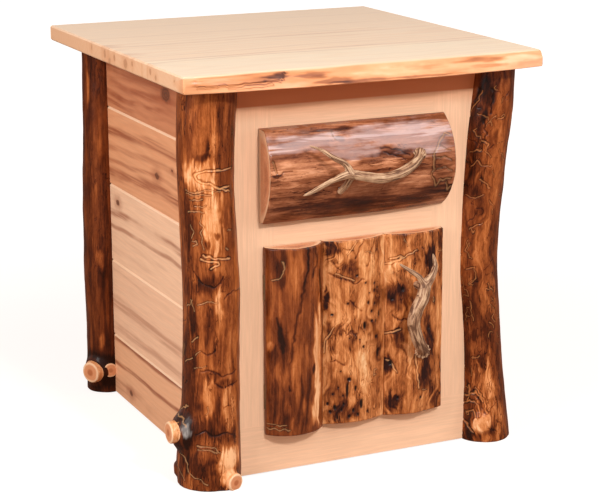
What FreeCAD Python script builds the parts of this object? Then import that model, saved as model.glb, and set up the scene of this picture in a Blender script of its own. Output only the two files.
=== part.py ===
import FreeCAD, Part
import math
import os

import Sketcher
from FreeCAD import Placement, Rotation, Vector

# A log nightstand with one drawer and one door.
# Millimetres. +Z is up, the front faces -Y, and -X is the left side seen from the front.
# The origin is the middle of the object's own box, on the floor.

# Driving sizes, one row each: alias and value
SIZE_ROWS = [
    # The top: five glued boards, the front one with a natural edge
    ("height", 660),
    ("top_width", 620),
    ("top_depth", 634),
    ("top_thickness", 26),
    ("top_edge_bevel", 2.5),
    ("front_board_depth", 162),
    ("second_board_depth", 131),
    ("live_edge_bulge", 20),
    # The cabinet box and where it stands under the top
    ("box_width", 480),
    ("front_setback", 56),
    ("back_setback", 67),
    ("floor_gap", 2),
    # The face frame
    ("frame_thickness", 19),
    ("stile_width", 100),
    ("bottom_rail_height", 80),
    ("middle_rail_height", 67),
    ("drawer_opening_height", 122),
    ("top_rail_height", 85),
    # The tongue-and-groove side boards
    ("side_thickness", 18),
    ("bottom_side_board_height", 111),
    ("top_side_board_height", 107),
    ("tongue_thickness", 6),
    ("tongue_height", 8),
    ("tongue_clearance", 0.3),
    ("board_bevel", 5),
    # The log posts
    ("front_post_radius", 45),
    ("right_post_radius", 40),
    ("back_post_radius", 36),
    ("front_post_aside", 7),
    ("front_post_inward", 9),
    ("back_post_aside", 3),
    ("back_post_inward", -8),
    ("stub_radius", 20),
    ("stub_reach", 72),
    ("stub_level", 91),
    ("foot_stub_radius", 16),
    ("foot_stub_reach", 58),
    ("foot_stub_level", 14.5),
    ("small_stub_radius", 9),
    ("small_stub_level", 21.5),
    ("knot_radius", 15),
    ("knot_reach", 48),
    ("knot_level", 34),
    ("trimmed_knot_radius", 15),
    ("trimmed_knot_reach", 38),
    ("trimmed_knot_level", 43),
    ("back_stub_radius", 27),
    ("back_stub_reach", 47),
    ("back_stub_level", 39),
    # The back, the floor and the strips inside
    ("back_panel_thickness", 6),
    ("back_rail_thickness", 18),
    ("back_rail_height", 60),
    ("floor_thickness", 18),
    ("cleat_size", 20),
    # Fasteners
    ("lag_radius", 4),
    ("lag_length", 38),
    ("lag_head_radius", 6.5),
    ("lag_head_height", 5),
    ("front_lag_inset", 33),
    ("back_lag_inset", 14),
    ("low_lag_lift", 37),
    ("front_lag_drop", 74),
    ("back_lag_lift", 11),
    ("top_screw_margin", 35),
    ("screw_radius", 2),
    ("screw_head_radius", 4),
    ("screw_head_height", 3),
    ("screw_bite", 14),
    ("pull_screw_bite", 8.5),
    ("screw_clearance", 0.1),
    # The slides: three nested channels on each side of the drawer
    ("slide_height", 45),
    ("slide_depth", 12.7),
    ("slide_wall", 1.2),
    ("slide_running_gap", 0.3),
    ("slide_lift", 38),
    ("slide_front_inset", 3),
    ("slide_back_room", 34),
    ("mounting_rail_thickness", 24),
    ("mounting_rail_height", 60),
    # The drawer
    ("front_gap", 2),
    ("drawer_front_width", 323),
    ("drawer_front_offset", 3.5),
    ("drawer_front_height", 149),
    ("drawer_front_overlay", 13),
    ("drawer_log_edge", 22),
    ("drawer_log_depth", 46),
    ("drawer_wall", 12),
    ("drawer_box_height", 100),
    ("drawer_box_lift", 10),
    ("drawer_bottom_thickness", 6),
    ("drawer_bottom_lift", 10),
    ("drawer_groove", 6),
    # The door: three half logs on two battens
    ("door_width", 314),
    ("door_offset", -2),
    ("door_low_overlay", 17),
    ("door_high_overlay", 15),
    ("left_log_width", 98),
    ("middle_log_width", 110),
    ("left_log_rise", 2.5),
    ("middle_log_rise", 5.5),
    ("right_log_rise", 5),
    ("door_log_edge", 9),
    ("left_log_depth", 36),
    ("middle_log_depth", 25),
    ("right_log_depth", 26),
    ("batten_thickness", 18),
    ("batten_height", 34),
    ("batten_inset", 16),
    ("batten_margin", 12),
    # The hinges and the catch
    ("hinge_length", 40),
    ("hinge_inset", 45),
    ("hinge_radius", 3),
    ("hinge_pin_radius", 1.5),
    ("hinge_pin_clearance", 0.05),
    ("hinge_edge_distance", 2),
    ("hinge_frame_gap", 0.2),
    ("hinge_leaf_thickness", 1.5),
    ("hinge_leaf_width", 14),
    ("hinge_knuckle_gap", 0.5),
    ("catch_length", 40),
    ("catch_height", 12),
    ("catch_depth", 14),
    ("catch_inset", 10),
    ("strike_thickness", 1.2),
    ("strike_gap", 0.3),
    ("strike_margin", 2),
    # The antler pulls
    ("drawer_pull_reach", 88),
    ("drawer_pull_length", 200),
    ("drawer_pull_lift", 61),
    ("drawer_pull_radius", 8),
    ("drawer_burr_radius", 9.5),
    ("door_pull_reach", 67),
    ("door_pull_length", 160),
    ("door_pull_radius", 10),
    ("door_burr_radius", 12.5),
    ("burr_sink", 7),
    ("burr_length", 15),
]

# The wander and swelling of each log post, from floor to top:
# share of the height, sideways and backward shift as shares of the radius, radius share
FRONT_LEFT_POST_SHARES = [
    (0.00, -0.10, 0.00, 1.10), (0.04, -0.10, 0.00, 1.13), (0.14, -0.03, 0.00, 1.06),
    (0.24, 0.02, 0.00, 1.01), (0.36, 0.06, 0.00, 0.99), (0.48, 0.09, 0.00, 0.99),
    (0.61, 0.04, 0.00, 0.98), (0.74, -0.03, 0.00, 0.97), (0.87, -0.05, 0.00, 1.01),
    (1.00, 0.05, 0.00, 1.02),
]
FRONT_RIGHT_POST_SHARES = [
    (0.00, 0.05, 0.00, 1.12), (0.07, 0.00, 0.00, 1.07), (0.20, -0.11, 0.05, 0.96),
    (0.34, -0.26, 0.14, 0.95), (0.47, -0.42, 0.21, 0.97), (0.60, -0.36, 0.18, 0.99),
    (0.74, -0.21, 0.10, 1.01), (0.87, 0.00, 0.00, 1.00), (1.00, 0.18, 0.00, 0.92),
]
BACK_LEFT_POST_SHARES = [
    (0.00, 0.00, 0.00, 1.02), (0.16, 0.02, 0.00, 1.00), (0.32, -0.03, 0.00, 0.98),
    (0.50, 0.00, 0.00, 1.00), (0.68, 0.04, 0.00, 0.96), (0.84, 0.10, 0.00, 0.93),
    (1.00, 0.14, 0.00, 0.90),
]
BACK_RIGHT_POST_SHARES = [
    (0.00, 0.08, 0.00, 1.08), (0.15, 0.03, 0.03, 1.00), (0.35, -0.10, 0.06, 0.96),
    (0.55, -0.14, 0.04, 0.98), (0.75, 0.00, 0.00, 1.00), (1.00, 0.08, 0.00, 0.97),
]

# The natural front edge of the top, left to right: share of the top's width from its middle,
# and how far behind the nominal edge the upper and the lower line lie, as shares of the bulge
LIVE_EDGE_SHARES = [
    (-0.50, -0.22, -0.15), (-0.44, -0.15, -0.40), (-0.38, -0.15, -0.65), (-0.30, 0.15, -0.74),
    (-0.25, 0.22, -0.79), (-0.20, 0.00, -0.98), (-0.13, -0.08, -0.90), (-0.05, 0.24, -0.85),
    (0.07, 0.15, -0.90), (0.18, 0.20, -1.00), (0.29, 0.34, -0.73), (0.41, 0.32, -0.40),
    (0.50, 0.55, 0.05),
]

# The antler pulls, burr first. Each point: shares of the pull's length to the side and up,
# share of the room between the wood and the pull's outermost line, radius share
DRAWER_BEAM_SHARES = [
    (0.455, 0.105, 0.00, 0.85), (0.400, 0.075, 0.42, 0.90), (0.336, 0.051, 0.70, 0.95),
    (0.184, -0.002, 0.95, 1.00), (0.030, -0.020, 1.00, 1.00), (-0.130, 0.012, 0.97, 0.95),
    (-0.239, 0.032, 0.90, 0.90), (-0.351, 0.000, 0.82, 0.55), (-0.455, -0.053, 0.64, 0.46),
    (-0.534, -0.097, 0.48, 0.36), (-0.592, -0.120, 0.38, 0.20),
]
DRAWER_TINE_SHARES = [
    (-0.215, 0.030, 0.92, 0.80), (-0.262, 0.108, 0.84, 0.62), (-0.364, 0.173, 0.68, 0.50),
    (-0.440, 0.228, 0.50, 0.36), (-0.533, 0.266, 0.36, 0.18),
]
DRAWER_PEG_SHARES = [
    (-0.215, 0.010, 0.88, 0.66), (-0.225, -0.070, 0.42, 0.62), (-0.240, -0.140, -0.10, 0.58),
]
DOOR_BEAM_SHARES = [
    (0.690, -0.273, 0.00, 1.05), (0.650, -0.220, 0.42, 0.98), (0.590, -0.150, 0.72, 0.98),
    (0.528, -0.038, 0.95, 1.02), (0.490, 0.099, 1.00, 1.06), (0.522, 0.227, 1.00, 1.06),
    (0.589, 0.348, 0.98, 1.04), (0.635, 0.480, 0.90, 0.92), (0.704, 0.548, 0.84, 0.62),
    (0.758, 0.646, 0.68, 0.44), (0.748, 0.769, 0.50, 0.16),
]
DOOR_TINE_SHARES = [
    (0.620, 0.440, 0.90, 0.70), (0.560, 0.560, 0.84, 0.46), (0.480, 0.622, 0.74, 0.36),
    (0.369, 0.700, 0.52, 0.18),
]
DOOR_PEG_SHARES = [
    (0.625, 0.440, 0.85, 0.70), (0.622, 0.438, 0.40, 0.66), (0.620, 0.436, -0.12, 0.62),
]

# The antlers' branches have this many rings for each of their points
RINGS_PER_POINT = 2
# Each pull screw stands between the last two points of its foot, at this share of the way back
PULL_SCREW_SHARE = 0.4
# Where the screws of the drawer front stand, as shares of the box's half width and of its height
FRONT_SCREW_ACROSS_SHARE = 0.88
FRONT_SCREW_UP_SHARES = (0.22, 0.82)
# How far the lips of the slide members run, as shares of the slide's whole depth
SLIDE_LIP_SHARES = {"outer": 0.70, "middle": 0.85, "inner": 0.45}
# The three knuckles of a hinge: where each starts and ends, as shares of the hinge's length
KNUCKLE_SHARES = ((0.00, 0.32), (0.34, 0.66), (0.68, 1.00))

# The swelling of the half logs, left to right or floor to top: share of the length, then the
# shares of the log's depth and of the depth of its lower or left edge and of its other edge
DRAWER_LOG_SHARES = [
    (0.00, 0.99, 0.60, 1.00), (0.25, 0.95, 0.60, 0.95), (0.50, 0.97, 0.50, 0.85),
    (0.75, 0.98, 0.40, 0.65), (0.92, 1.00, 0.20, 0.40), (1.00, 0.97, 0.10, 0.20),
]
DOOR_LOG_SHARES = [
    (0.00, 0.86, 1.00, 1.00), (0.33, 0.97, 1.00, 1.00), (0.66, 1.00, 1.00, 1.00),
    (1.00, 0.98, 1.00, 1.00),
]


class Size:
    """A length with its value and the sheet expression that gives it."""

    def __init__(self, value, text):
        self.value = value
        self.text = text

    @staticmethod
    def of(item):
        return item if isinstance(item, Size) else Size(float(item), repr(float(item)))

    def join(self, other, sign, result):
        other = Size.of(other)
        return Size(result(self.value, other.value), "(" + self.text + sign + other.text + ")")

    def __add__(self, other):
        return self.join(other, " + ", lambda a, b: a + b)

    def __sub__(self, other):
        return self.join(other, " - ", lambda a, b: a - b)

    def __mul__(self, other):
        return self.join(other, " * ", lambda a, b: a * b)

    def __truediv__(self, other):
        return self.join(other, " / ", lambda a, b: a / b)

    def __radd__(self, other):
        return Size.of(other) + self

    def __rsub__(self, other):
        return Size.of(other) - self

    def __rmul__(self, other):
        return Size.of(other) * self

    def __neg__(self):
        return Size(-self.value, "(-" + self.text + ")")


doc = FreeCAD.newDocument("nightstand")
sheet = doc.addObject("Spreadsheet::Sheet", "Sizes")
for row, (alias, number) in enumerate(SIZE_ROWS, 1):
    sheet.set("A" + str(row), alias)
    sheet.set("B" + str(row), str(number))
    sheet.setAlias("B" + str(row), alias)
doc.recompute()


def size(alias):
    return Size(float(sheet.get(alias)), "Sizes." + alias)


# Finished sub-parts, by node name
parts = {}


def keep(node, thing):
    thing.Label = node
    parts[node] = thing
    return thing


def bind(thing, name, length):
    thing.setExpression(name, Size.of(length).text)


def place(thing, x, y, z):
    bind(thing, "Placement.Base.x", x)
    bind(thing, "Placement.Base.y", y)
    bind(thing, "Placement.Base.z", z)


def box(name, xs, ys, zs):
    """A box between a low and a high place along each axis."""
    thing = doc.addObject("Part::Box", name)
    bind(thing, "Length", xs[1] - xs[0])
    bind(thing, "Width", ys[1] - ys[0])
    bind(thing, "Height", zs[1] - zs[0])
    place(thing, xs[0], ys[0], zs[0])
    return thing


TURNS = {
    "+X": Rotation(Vector(0, 1, 0), 90), "-X": Rotation(Vector(0, 1, 0), -90),
    "+Y": Rotation(Vector(1, 0, 0), -90), "-Y": Rotation(Vector(1, 0, 0), 90),
    "+Z": Rotation(), "-Z": Rotation(Vector(1, 0, 0), 180),
}
STEPS = {
    "+X": (1, 0, 0), "-X": (-1, 0, 0), "+Y": (0, 1, 0), "-Y": (0, -1, 0),
    "+Z": (0, 0, 1), "-Z": (0, 0, -1),
}


def cylinder(name, radius, length, point, direction):
    thing = doc.addObject("Part::Cylinder", name)
    bind(thing, "Radius", radius)
    bind(thing, "Height", length)
    thing.Placement = Placement(Vector(), TURNS[direction])
    place(thing, *point)
    return thing


def fuse(name, things):
    joined = doc.addObject("Part::MultiFuse", name)
    joined.Shapes = things
    return joined


def cut(name, base, tools):
    result = doc.addObject("Part::Cut", name)
    result.Base = base
    result.Tool = tools[0] if len(tools) == 1 else fuse(name + "_tools", tools)
    return result


def group(name, things):
    together = doc.addObject("Part::Compound", name)
    together.Links = things
    return together


PLANES = {"XY": ("XY_Plane", False), "XZ": ("XZ_Plane", True), "YZ": ("YZ_Plane", False)}


def padded(name, plane, outline, length, point, half_turn=False):
    """A body whose sketched outline is padded along the third axis, then placed."""
    role, backwards = PLANES[plane]
    body = doc.addObject("PartDesign::Body", name)
    sketch = body.newObject("Sketcher::SketchObject", name + "_sketch")
    support = next(item for item in body.Origin.OriginFeatures if item.Role == role)
    sketch.AttachmentSupport = [(support, "")]
    sketch.MapMode = "FlatFace"
    corners = [(Size.of(across), Size.of(up)) for across, up in outline]
    count = len(corners)
    flat = [Vector(across.value, up.value, 0) for across, up in corners]
    for index in range(count):
        sketch.addGeometry(Part.LineSegment(flat[index], flat[(index + 1) % count]))
    for index in range(count):
        sketch.addConstraint(Sketcher.Constraint("Coincident", index, 2, (index + 1) % count, 1))
    for index, corner in enumerate(corners):
        for kind, distance in zip(("DistanceX", "DistanceY"), corner):
            number = sketch.addConstraint(
                Sketcher.Constraint(kind, -1, 1, index, 1, distance.value))
            sketch.setExpression("Constraints[" + str(number) + "]", distance.text)
    pad = body.newObject("PartDesign::Pad", name + "_pad")
    pad.Profile = sketch
    pad.Reversed = backwards
    bind(pad, "Length", length)
    sketch.Visibility = False
    if half_turn:
        body.Placement = Placement(Vector(), Rotation(Vector(0, 0, 1), 180))
    place(body, *point)
    return body


def feature(name, shape):
    thing = doc.addObject("Part::Feature", name)
    thing.Shape = shape
    return thing


def screw(name, point, direction, length, head_radius, head_height, radius):
    """A screw whose head sits at the point, and whose shank runs from there in the direction."""
    opposite = {"+": "-", "-": "+"}[direction[0]] + direction[1]
    head = cylinder(name + "_head", head_radius, head_height, point, opposite)
    shank = cylinder(name + "_shank", radius, length, point, direction)
    return fuse(name, [head, shank])


def wood_screws(name, points, direction, length):
    made = []
    for number, point in enumerate(points, 1):
        made.append(screw(name + "_" + str(number), point, direction, length,
                          screw_head_radius, screw_head_height, screw_radius))
    return group(name, made)


def screw_holes(name, points, direction, length, radius):
    """Cylinders, a little wider than the shanks, that cut the screws' holes."""
    return [cylinder(name + "_hole_" + str(number), radius + screw_clearance, length,
                     point, direction) for number, point in enumerate(points, 1)]


def screws_between(points, axis, low, high, radius):
    """The screws whose holes meet the stretch between two places along an axis."""
    return [point for point in points
            if low.value - radius.value < point[axis].value < high.value + radius.value]


def holed(name, maker, sizes, holes):
    """The piece that the maker makes, cut by the holes where it has any."""
    if not holes:
        return maker(*sizes)
    return cut(name, maker(name + "_blank", *sizes[1:]), holes)


def number_of(length):
    return Size.of(length).value


def vector_of(x, y, z):
    return Vector(number_of(x), number_of(y), number_of(z))


def solid_hole(radius, length, point, direction):
    """The same hole as a plain shape, for the pieces that are shaped in code."""
    return Part.makeCylinder(number_of(radius + screw_clearance), number_of(length),
                             vector_of(*point), Vector(*STEPS[direction]))


# Sizes used by name below
height = size("height")
top_width = size("top_width")
top_depth = size("top_depth")
side_thickness = size("side_thickness")
frame_thickness = size("frame_thickness")
floor_gap = size("floor_gap")
front_gap = size("front_gap")
screw_radius = size("screw_radius")
screw_head_radius = size("screw_head_radius")
screw_head_height = size("screw_head_height")
screw_clearance = size("screw_clearance")
screw_bite = size("screw_bite")
cleat = size("cleat_size")

# Main planes. The drawer pull reaches furthest forward, so it sets the middle of the box.
underside = height - size("top_thickness")
half_box = size("box_width") / 2
inner_half = half_box - side_thickness
frame_front = (size("drawer_pull_reach") - top_depth + size("front_setback")) / 2
frame_back = frame_front + frame_thickness
top_front = frame_front - size("front_setback")
top_back = top_front + top_depth
box_back = top_back - size("back_setback")
panel_front = box_back - size("back_panel_thickness")
back_rail_front = panel_front - size("back_rail_thickness")
opening_half = half_box - size("stile_width")
door_sill = floor_gap + size("bottom_rail_height")
drawer_lintel = underside - size("top_rail_height")
drawer_sill = drawer_lintel - size("drawer_opening_height")
door_lintel = drawer_sill - size("middle_rail_height")

# The seams between the side boards, from the floor up. The middle boards share what the lowest
# and the highest one leave.
SIDE_BOARD_COUNT = 5
first_side_seam = floor_gap + size("bottom_side_board_height")
last_side_seam = underside - size("top_side_board_height")
board_pitch = (last_side_seam - first_side_seam) / (SIDE_BOARD_COUNT - 2)
seams = [floor_gap]
for count in range(SIDE_BOARD_COUNT - 2):
    seams.append(first_side_seam + board_pitch * count)
seams += [last_side_seam, underside]


# The top
bevel = size("top_edge_bevel")
thickness = size("top_thickness")
half_top = top_width / 2
cleat_centre = inner_half - cleat / 2
rear_board_depth = (top_depth - size("front_board_depth") - size("second_board_depth")) / 3
second_board_low = top_front + size("front_board_depth")
third_board_low = second_board_low + size("second_board_depth")
fourth_board_low = third_board_low + rear_board_depth
top_screw_places = [(side * cleat_centre, y, underside - cleat) for side in (-1, 1)
                    for y in (second_board_low - size("top_screw_margin"),
                              third_board_low + rear_board_depth / 2,
                              fourth_board_low + rear_board_depth / 2)]
top_screw_length = cleat + screw_bite


def live_edge_board():
    """The front board: its natural edge leans outwards from the upper to the lower line."""
    bulge = number_of(size("live_edge_bulge"))
    wide = number_of(top_width)
    front = number_of(top_front)
    back = number_of(second_board_low)
    wires = []
    for column, level in ((2, number_of(underside)), (1, number_of(height))):
        line = [Vector(wide * shares[0], front + bulge * shares[column], level)
                for shares in LIVE_EDGE_SHARES]
        edge = Part.BSplineCurve()
        edge.interpolate(line)
        left = Vector(line[0].x, back, level)
        right = Vector(line[-1].x, back, level)
        wires.append(Part.Wire([edge.toShape(), Part.makeLine(line[-1], right),
                                Part.makeLine(right, left), Part.makeLine(left, line[0])]))
    board = Part.makeLoft(wires, True, True)
    for point in screws_between(top_screw_places, 1, top_front, second_board_low, screw_radius):
        board = board.cut(solid_hole(screw_radius, top_screw_length, point, "+Z"))
    return board


def plain_top_board(name, low, deep):
    """A straight top board with bevelled ends, holed for the screws that fall in it."""
    outline = [(bevel, 0), (top_width - bevel, 0), (top_width, bevel),
               (top_width, thickness - bevel), (top_width - bevel, thickness),
               (bevel, thickness), (0, thickness - bevel), (0, bevel)]
    points = screws_between(top_screw_places, 1, low, low + deep, screw_radius)
    holes = screw_holes(name, points, "+Z", top_screw_length, screw_radius)
    return holed(name, padded, (name, "XZ", outline, deep, (-half_top, low, underside)), holes)


keep("top_board_front", feature("top_board_front", live_edge_board()))
board_low = second_board_low
for name, deep in (("top_board_second", size("second_board_depth")),
                   ("top_board_third", rear_board_depth), ("top_board_fourth", rear_board_depth),
                   ("top_board_back", rear_board_depth)):
    keep(name, plain_top_board(name, board_low, deep))
    board_low = board_low + deep


# The posts
lag_radius = size("lag_radius")
lag_places = {}
for side_name, side in (("left", -1), ("right", 1)):
    for end_name, lag_y, high_level in (
            ("front", frame_front + size("front_lag_inset"), underside - size("front_lag_drop")),
            ("back", box_back - size("back_lag_inset"), seams[3] + size("back_lag_lift"))):
        lag_places[end_name, side_name] = [
            (side * inner_half, lag_y, first_side_seam + size("low_lag_lift")),
            (side * inner_half, lag_y, high_level)]


def stub(start, heading, lift, reach, radius, taper_share):
    """A cut branch stub: a short cone pointing out of the post."""
    lean = Vector(math.cos(math.radians(heading)), math.sin(math.radians(heading)), lift)
    return Part.makeCone(number_of(radius), number_of(radius) * taper_share, number_of(reach),
                         start, lean)


def post(name, side, end, radius, shares, stubs):
    """A log that stands on the floor, with a right-angled notch round the box's corner."""
    radius_value = number_of(radius)
    tall = number_of(underside)
    end_name = "front" if end < 0 else "back"
    side_name = "left" if side < 0 else "right"
    corner_x = side * number_of(half_box)
    corner_y = number_of(frame_front if end < 0 else box_back)
    centre_x = corner_x + side * number_of(size(end_name + "_post_aside"))
    centre_y = corner_y - end * number_of(size(end_name + "_post_inward"))
    rings = []
    for level, across, behind, swell in shares:
        centre = Vector(centre_x + radius_value * across, centre_y + radius_value * behind,
                        tall * level)
        rings.append(Part.Wire(Part.makeCircle(radius_value * swell, centre)))
    log = Part.makeLoft(rings, True, False)
    for heading, level, lift, reach, stub_radius, taper in stubs:
        start = Vector(centre_x, centre_y, number_of(level))
        log = log.fuse(stub(start, heading, lift, reach, stub_radius, taper))
    # Nothing of the log reaches below the floor or into the box
    room = number_of(top_width)
    below = Part.makeBox(2 * room, 2 * room, room, Vector(centre_x - room, centre_y - room, -room))
    notch_x = corner_x if side < 0 else corner_x - room
    notch_y = corner_y if end < 0 else corner_y - room
    notch = Part.makeBox(room, room, 2 * tall, Vector(notch_x, notch_y, -tall / 2))
    log = log.cut(below).cut(notch)
    direction = "-X" if side < 0 else "+X"
    for lag_place in lag_places[end_name, side_name]:
        log = log.cut(solid_hole(lag_radius, size("lag_length"), lag_place, direction))
    return keep(name, feature(name, log))


# The stubs: heading in degrees, level, lift, reach from the post's middle, radius, taper share.
# The sideways stubs of the front left and back right posts reach equally far out of the sides.
back_reach = size("stub_reach") + size("front_post_aside") - size("back_post_aside")
post("post_front_left", -1, -1, size("front_post_radius"), FRONT_LEFT_POST_SHARES, [
    (180, size("stub_level"), 0, size("stub_reach"), size("stub_radius"), 0.88),
    (290, size("foot_stub_level"), -0.05, size("foot_stub_reach"), size("foot_stub_radius"), 0.9),
    (156, size("small_stub_level"), 0, size("foot_stub_reach"), size("small_stub_radius"), 0.9)])
post("post_front_right", 1, -1, size("right_post_radius"), FRONT_RIGHT_POST_SHARES, [
    (238, size("knot_level"), 0, size("knot_reach"), size("knot_radius"), 0.9)])
post("post_back_left", -1, 1, size("back_post_radius"), BACK_LEFT_POST_SHARES, [
    (210, size("back_stub_level"), 0, size("back_stub_reach"), size("back_stub_radius"), 0.68),
    (268, size("trimmed_knot_level"), 0, size("trimmed_knot_reach"),
     size("trimmed_knot_radius"), 1.1)])
post("post_back_right", 1, 1, size("back_post_radius"), BACK_RIGHT_POST_SHARES, [
    (0, size("stub_level"), 0, back_reach, size("stub_radius"), 0.88)])


# The side boards
tongue = size("tongue_thickness")
tongue_tall = size("tongue_height")
slack = size("tongue_clearance")
board_bevel = size("board_bevel")


def side_board(name, side_name, side, low, tall, has_tongue, has_groove):
    """A board seen on its end: outer face at 0, groove below, bevel and tongue above."""
    wood = side_thickness
    tongue_low = (wood - tongue) / 2
    outline = [(0, 0)]
    if has_groove:
        outline += [(tongue_low - slack, 0), (tongue_low - slack, tongue_tall + slack),
                    (tongue_low + tongue + slack, tongue_tall + slack),
                    (tongue_low + tongue + slack, 0)]
    outline += [(wood, 0), (wood, tall)]
    if has_tongue:
        outline += [(tongue_low + tongue, tall), (tongue_low + tongue, tall + tongue_tall),
                    (tongue_low, tall + tongue_tall), (tongue_low, tall),
                    (board_bevel, tall), (0, tall - board_bevel)]
    else:
        outline += [(0, tall)]
    start = frame_back if side < 0 else box_back
    direction = "-X" if side < 0 else "+X"
    points = screws_between(lag_places["front", side_name] + lag_places["back", side_name],
                            2, low, low + tall + tongue_tall, lag_radius)
    holes = screw_holes(name, points, direction, size("lag_length"), lag_radius)
    return keep(name, holed(name, padded, (name, "XZ", outline, box_back - frame_back,
                                           (side * half_box, start, low), side > 0), holes))


for side_name, side in (("left", -1), ("right", 1)):
    for index in range(SIDE_BOARD_COUNT):
        side_board("side_board_" + side_name + "_" + str(index + 1), side_name, side,
                   seams[index], seams[index + 1] - seams[index],
                   index < SIDE_BOARD_COUNT - 1, index > 0)


# The face frame
frame_y = (frame_front, frame_back)
keep("stile_left", box("stile_left", (-half_box, -opening_half), frame_y, (door_sill, underside)))
keep("stile_right", box("stile_right", (opening_half, half_box), frame_y, (door_sill, underside)))
keep("rail_top", box("rail_top", (-opening_half, opening_half), frame_y,
                     (drawer_lintel, underside)))
keep("rail_middle", box("rail_middle", (-opening_half, opening_half), frame_y,
                        (door_lintel, drawer_sill)))
keep("rail_bottom", box("rail_bottom", (-half_box, half_box), frame_y, (floor_gap, door_sill)))


# The back, the cabinet floor and the strips that carry them
floor_low = door_sill - size("floor_thickness")
rail_y = (back_rail_front, panel_front)
rail_tall = size("back_rail_height")
rail_x = (-inner_half, inner_half)
slide_low = drawer_sill + size("slide_lift")
slide_centre = slide_low + size("slide_height") / 2
mount_low = slide_centre - size("mounting_rail_height") / 2
mount_high = slide_centre + size("mounting_rail_height") / 2
keep("back_panel", box("back_panel", rail_x, (panel_front, box_back), (floor_gap, underside)))
keep("back_rails", group("back_rails", [
    box("back_rail_high", rail_x, rail_y, (underside - rail_tall, underside)),
    box("back_rail_middle", rail_x, rail_y, (mount_low, mount_low + rail_tall)),
    box("back_rail_low", rail_x, rail_y, (floor_low - rail_tall, floor_low))]))
keep("cabinet_floor", box("cabinet_floor", rail_x, (frame_back, panel_front),
                          (floor_low, door_sill)))
cleat_y = (frame_back, back_rail_front)
cleat_sides = [(-inner_half, cleat - inner_half), (inner_half - cleat, inner_half)]
keep("floor_cleats", group("floor_cleats", [
    box("floor_cleat_" + str(number), xs, cleat_y, (floor_low - cleat, floor_low))
    for number, xs in enumerate(cleat_sides, 1)]))
top_cleat_bars = [box("top_cleat_" + str(number), xs, cleat_y, (underside - cleat, underside))
                  for number, xs in enumerate(cleat_sides, 1)]
keep("top_cleats", cut("top_cleats", fuse("top_cleat_bars", top_cleat_bars), screw_holes(
    "top_cleats", top_screw_places, "+Z", top_screw_length, screw_radius)))
keep("top_screws", wood_screws("top_screws", top_screw_places, "+Z", top_screw_length))
lag_screws = []
for (end_name, side_name), points in lag_places.items():
    for number, point in enumerate(points, 1):
        lag_screws.append(screw("lag_" + end_name + "_" + side_name + "_" + str(number), point,
                                "-X" if side_name == "left" else "+X", size("lag_length"),
                                size("lag_head_radius"), size("lag_head_height"), lag_radius))
keep("post_lag_screws", group("post_lag_screws", lag_screws))


# The slides: each channel nests in the next one with a running gap
slide_wall = size("slide_wall")
slide_gap = size("slide_running_gap")
slide_tall = size("slide_height")
slide_deep = size("slide_depth")
slide_y = frame_front + size("slide_front_inset")
slide_long = back_rail_front - size("slide_back_room") - slide_y
mount_thick = size("mounting_rail_thickness")
keep("slide_mounting_rails", group("slide_mounting_rails", [
    box("slide_mounting_rail_" + str(number), xs, cleat_y, (mount_low, mount_high))
    for number, xs in enumerate([(-opening_half - mount_thick, -opening_half),
                                 (opening_half, opening_half + mount_thick)], 1)]))


def channel(name, side, web, lip, step):
    """A channel whose web stands at one depth and whose lips run to another."""
    low = step * (slide_wall + slide_gap)
    high = slide_tall - low
    wall = slide_wall if lip.value > web.value else -slide_wall
    outline = [(web, low), (lip, low), (lip, low + slide_wall), (web + wall, low + slide_wall),
               (web + wall, high - slide_wall), (lip, high - slide_wall), (lip, high),
               (web, high)]
    start = slide_y if side < 0 else slide_y + slide_long
    return keep(name, padded(name, "XZ", outline, slide_long,
                             (side * opening_half, start, slide_low), side > 0))


for side_name, side in (("left", -1), ("right", 1)):
    for step, (member, web) in enumerate((("outer", Size.of(0)),
                                          ("middle", slide_wall + slide_gap),
                                          ("inner", slide_deep))):
        channel("slide_" + member + "_" + side_name, side, web,
                slide_deep * SLIDE_LIP_SHARES[member], step)


# The drawer box, hung between the inner slide members
wall = size("drawer_wall")
groove = size("drawer_groove")
box_half = opening_half - slide_deep
box_inner = box_half - wall
front_back = frame_front - front_gap
box_low = drawer_sill + size("drawer_box_lift")
box_high = box_low + size("drawer_box_height")
bottom_low = box_low + size("drawer_bottom_lift")
bottom_high = bottom_low + size("drawer_bottom_thickness")
drawer_rear = front_back + slide_long
box_tall = size("drawer_box_height")
bottom_step = size("drawer_bottom_lift")
bottom_top = bottom_step + size("drawer_bottom_thickness")


def grooved(thick):
    """A wall of the drawer box seen on its end, outer face at 0, groove on the inside."""
    return [(0, 0), (thick, 0), (thick, bottom_step), (thick - groove, bottom_step),
            (thick - groove, bottom_top), (thick, bottom_top), (thick, box_tall), (0, box_tall)]


keep("drawer_side_left", padded("drawer_side_left", "XZ", grooved(wall), slide_long,
                                (-box_half, front_back, box_low)))
keep("drawer_side_right", padded("drawer_side_right", "XZ", grooved(wall), slide_long,
                                 (box_half, drawer_rear, box_low), True))


def pull_screw_places(feet, length, middle, behind):
    """Where each foot's screw stands: between its first two points, nearer to the wood."""
    points = []
    for foot, above in feet:
        across, up = [foot[axis] + (above[axis] - foot[axis]) * PULL_SCREW_SHARE
                      for axis in (0, 1)]
        points.append((length * across, behind, middle + length * up))
    return points


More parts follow.
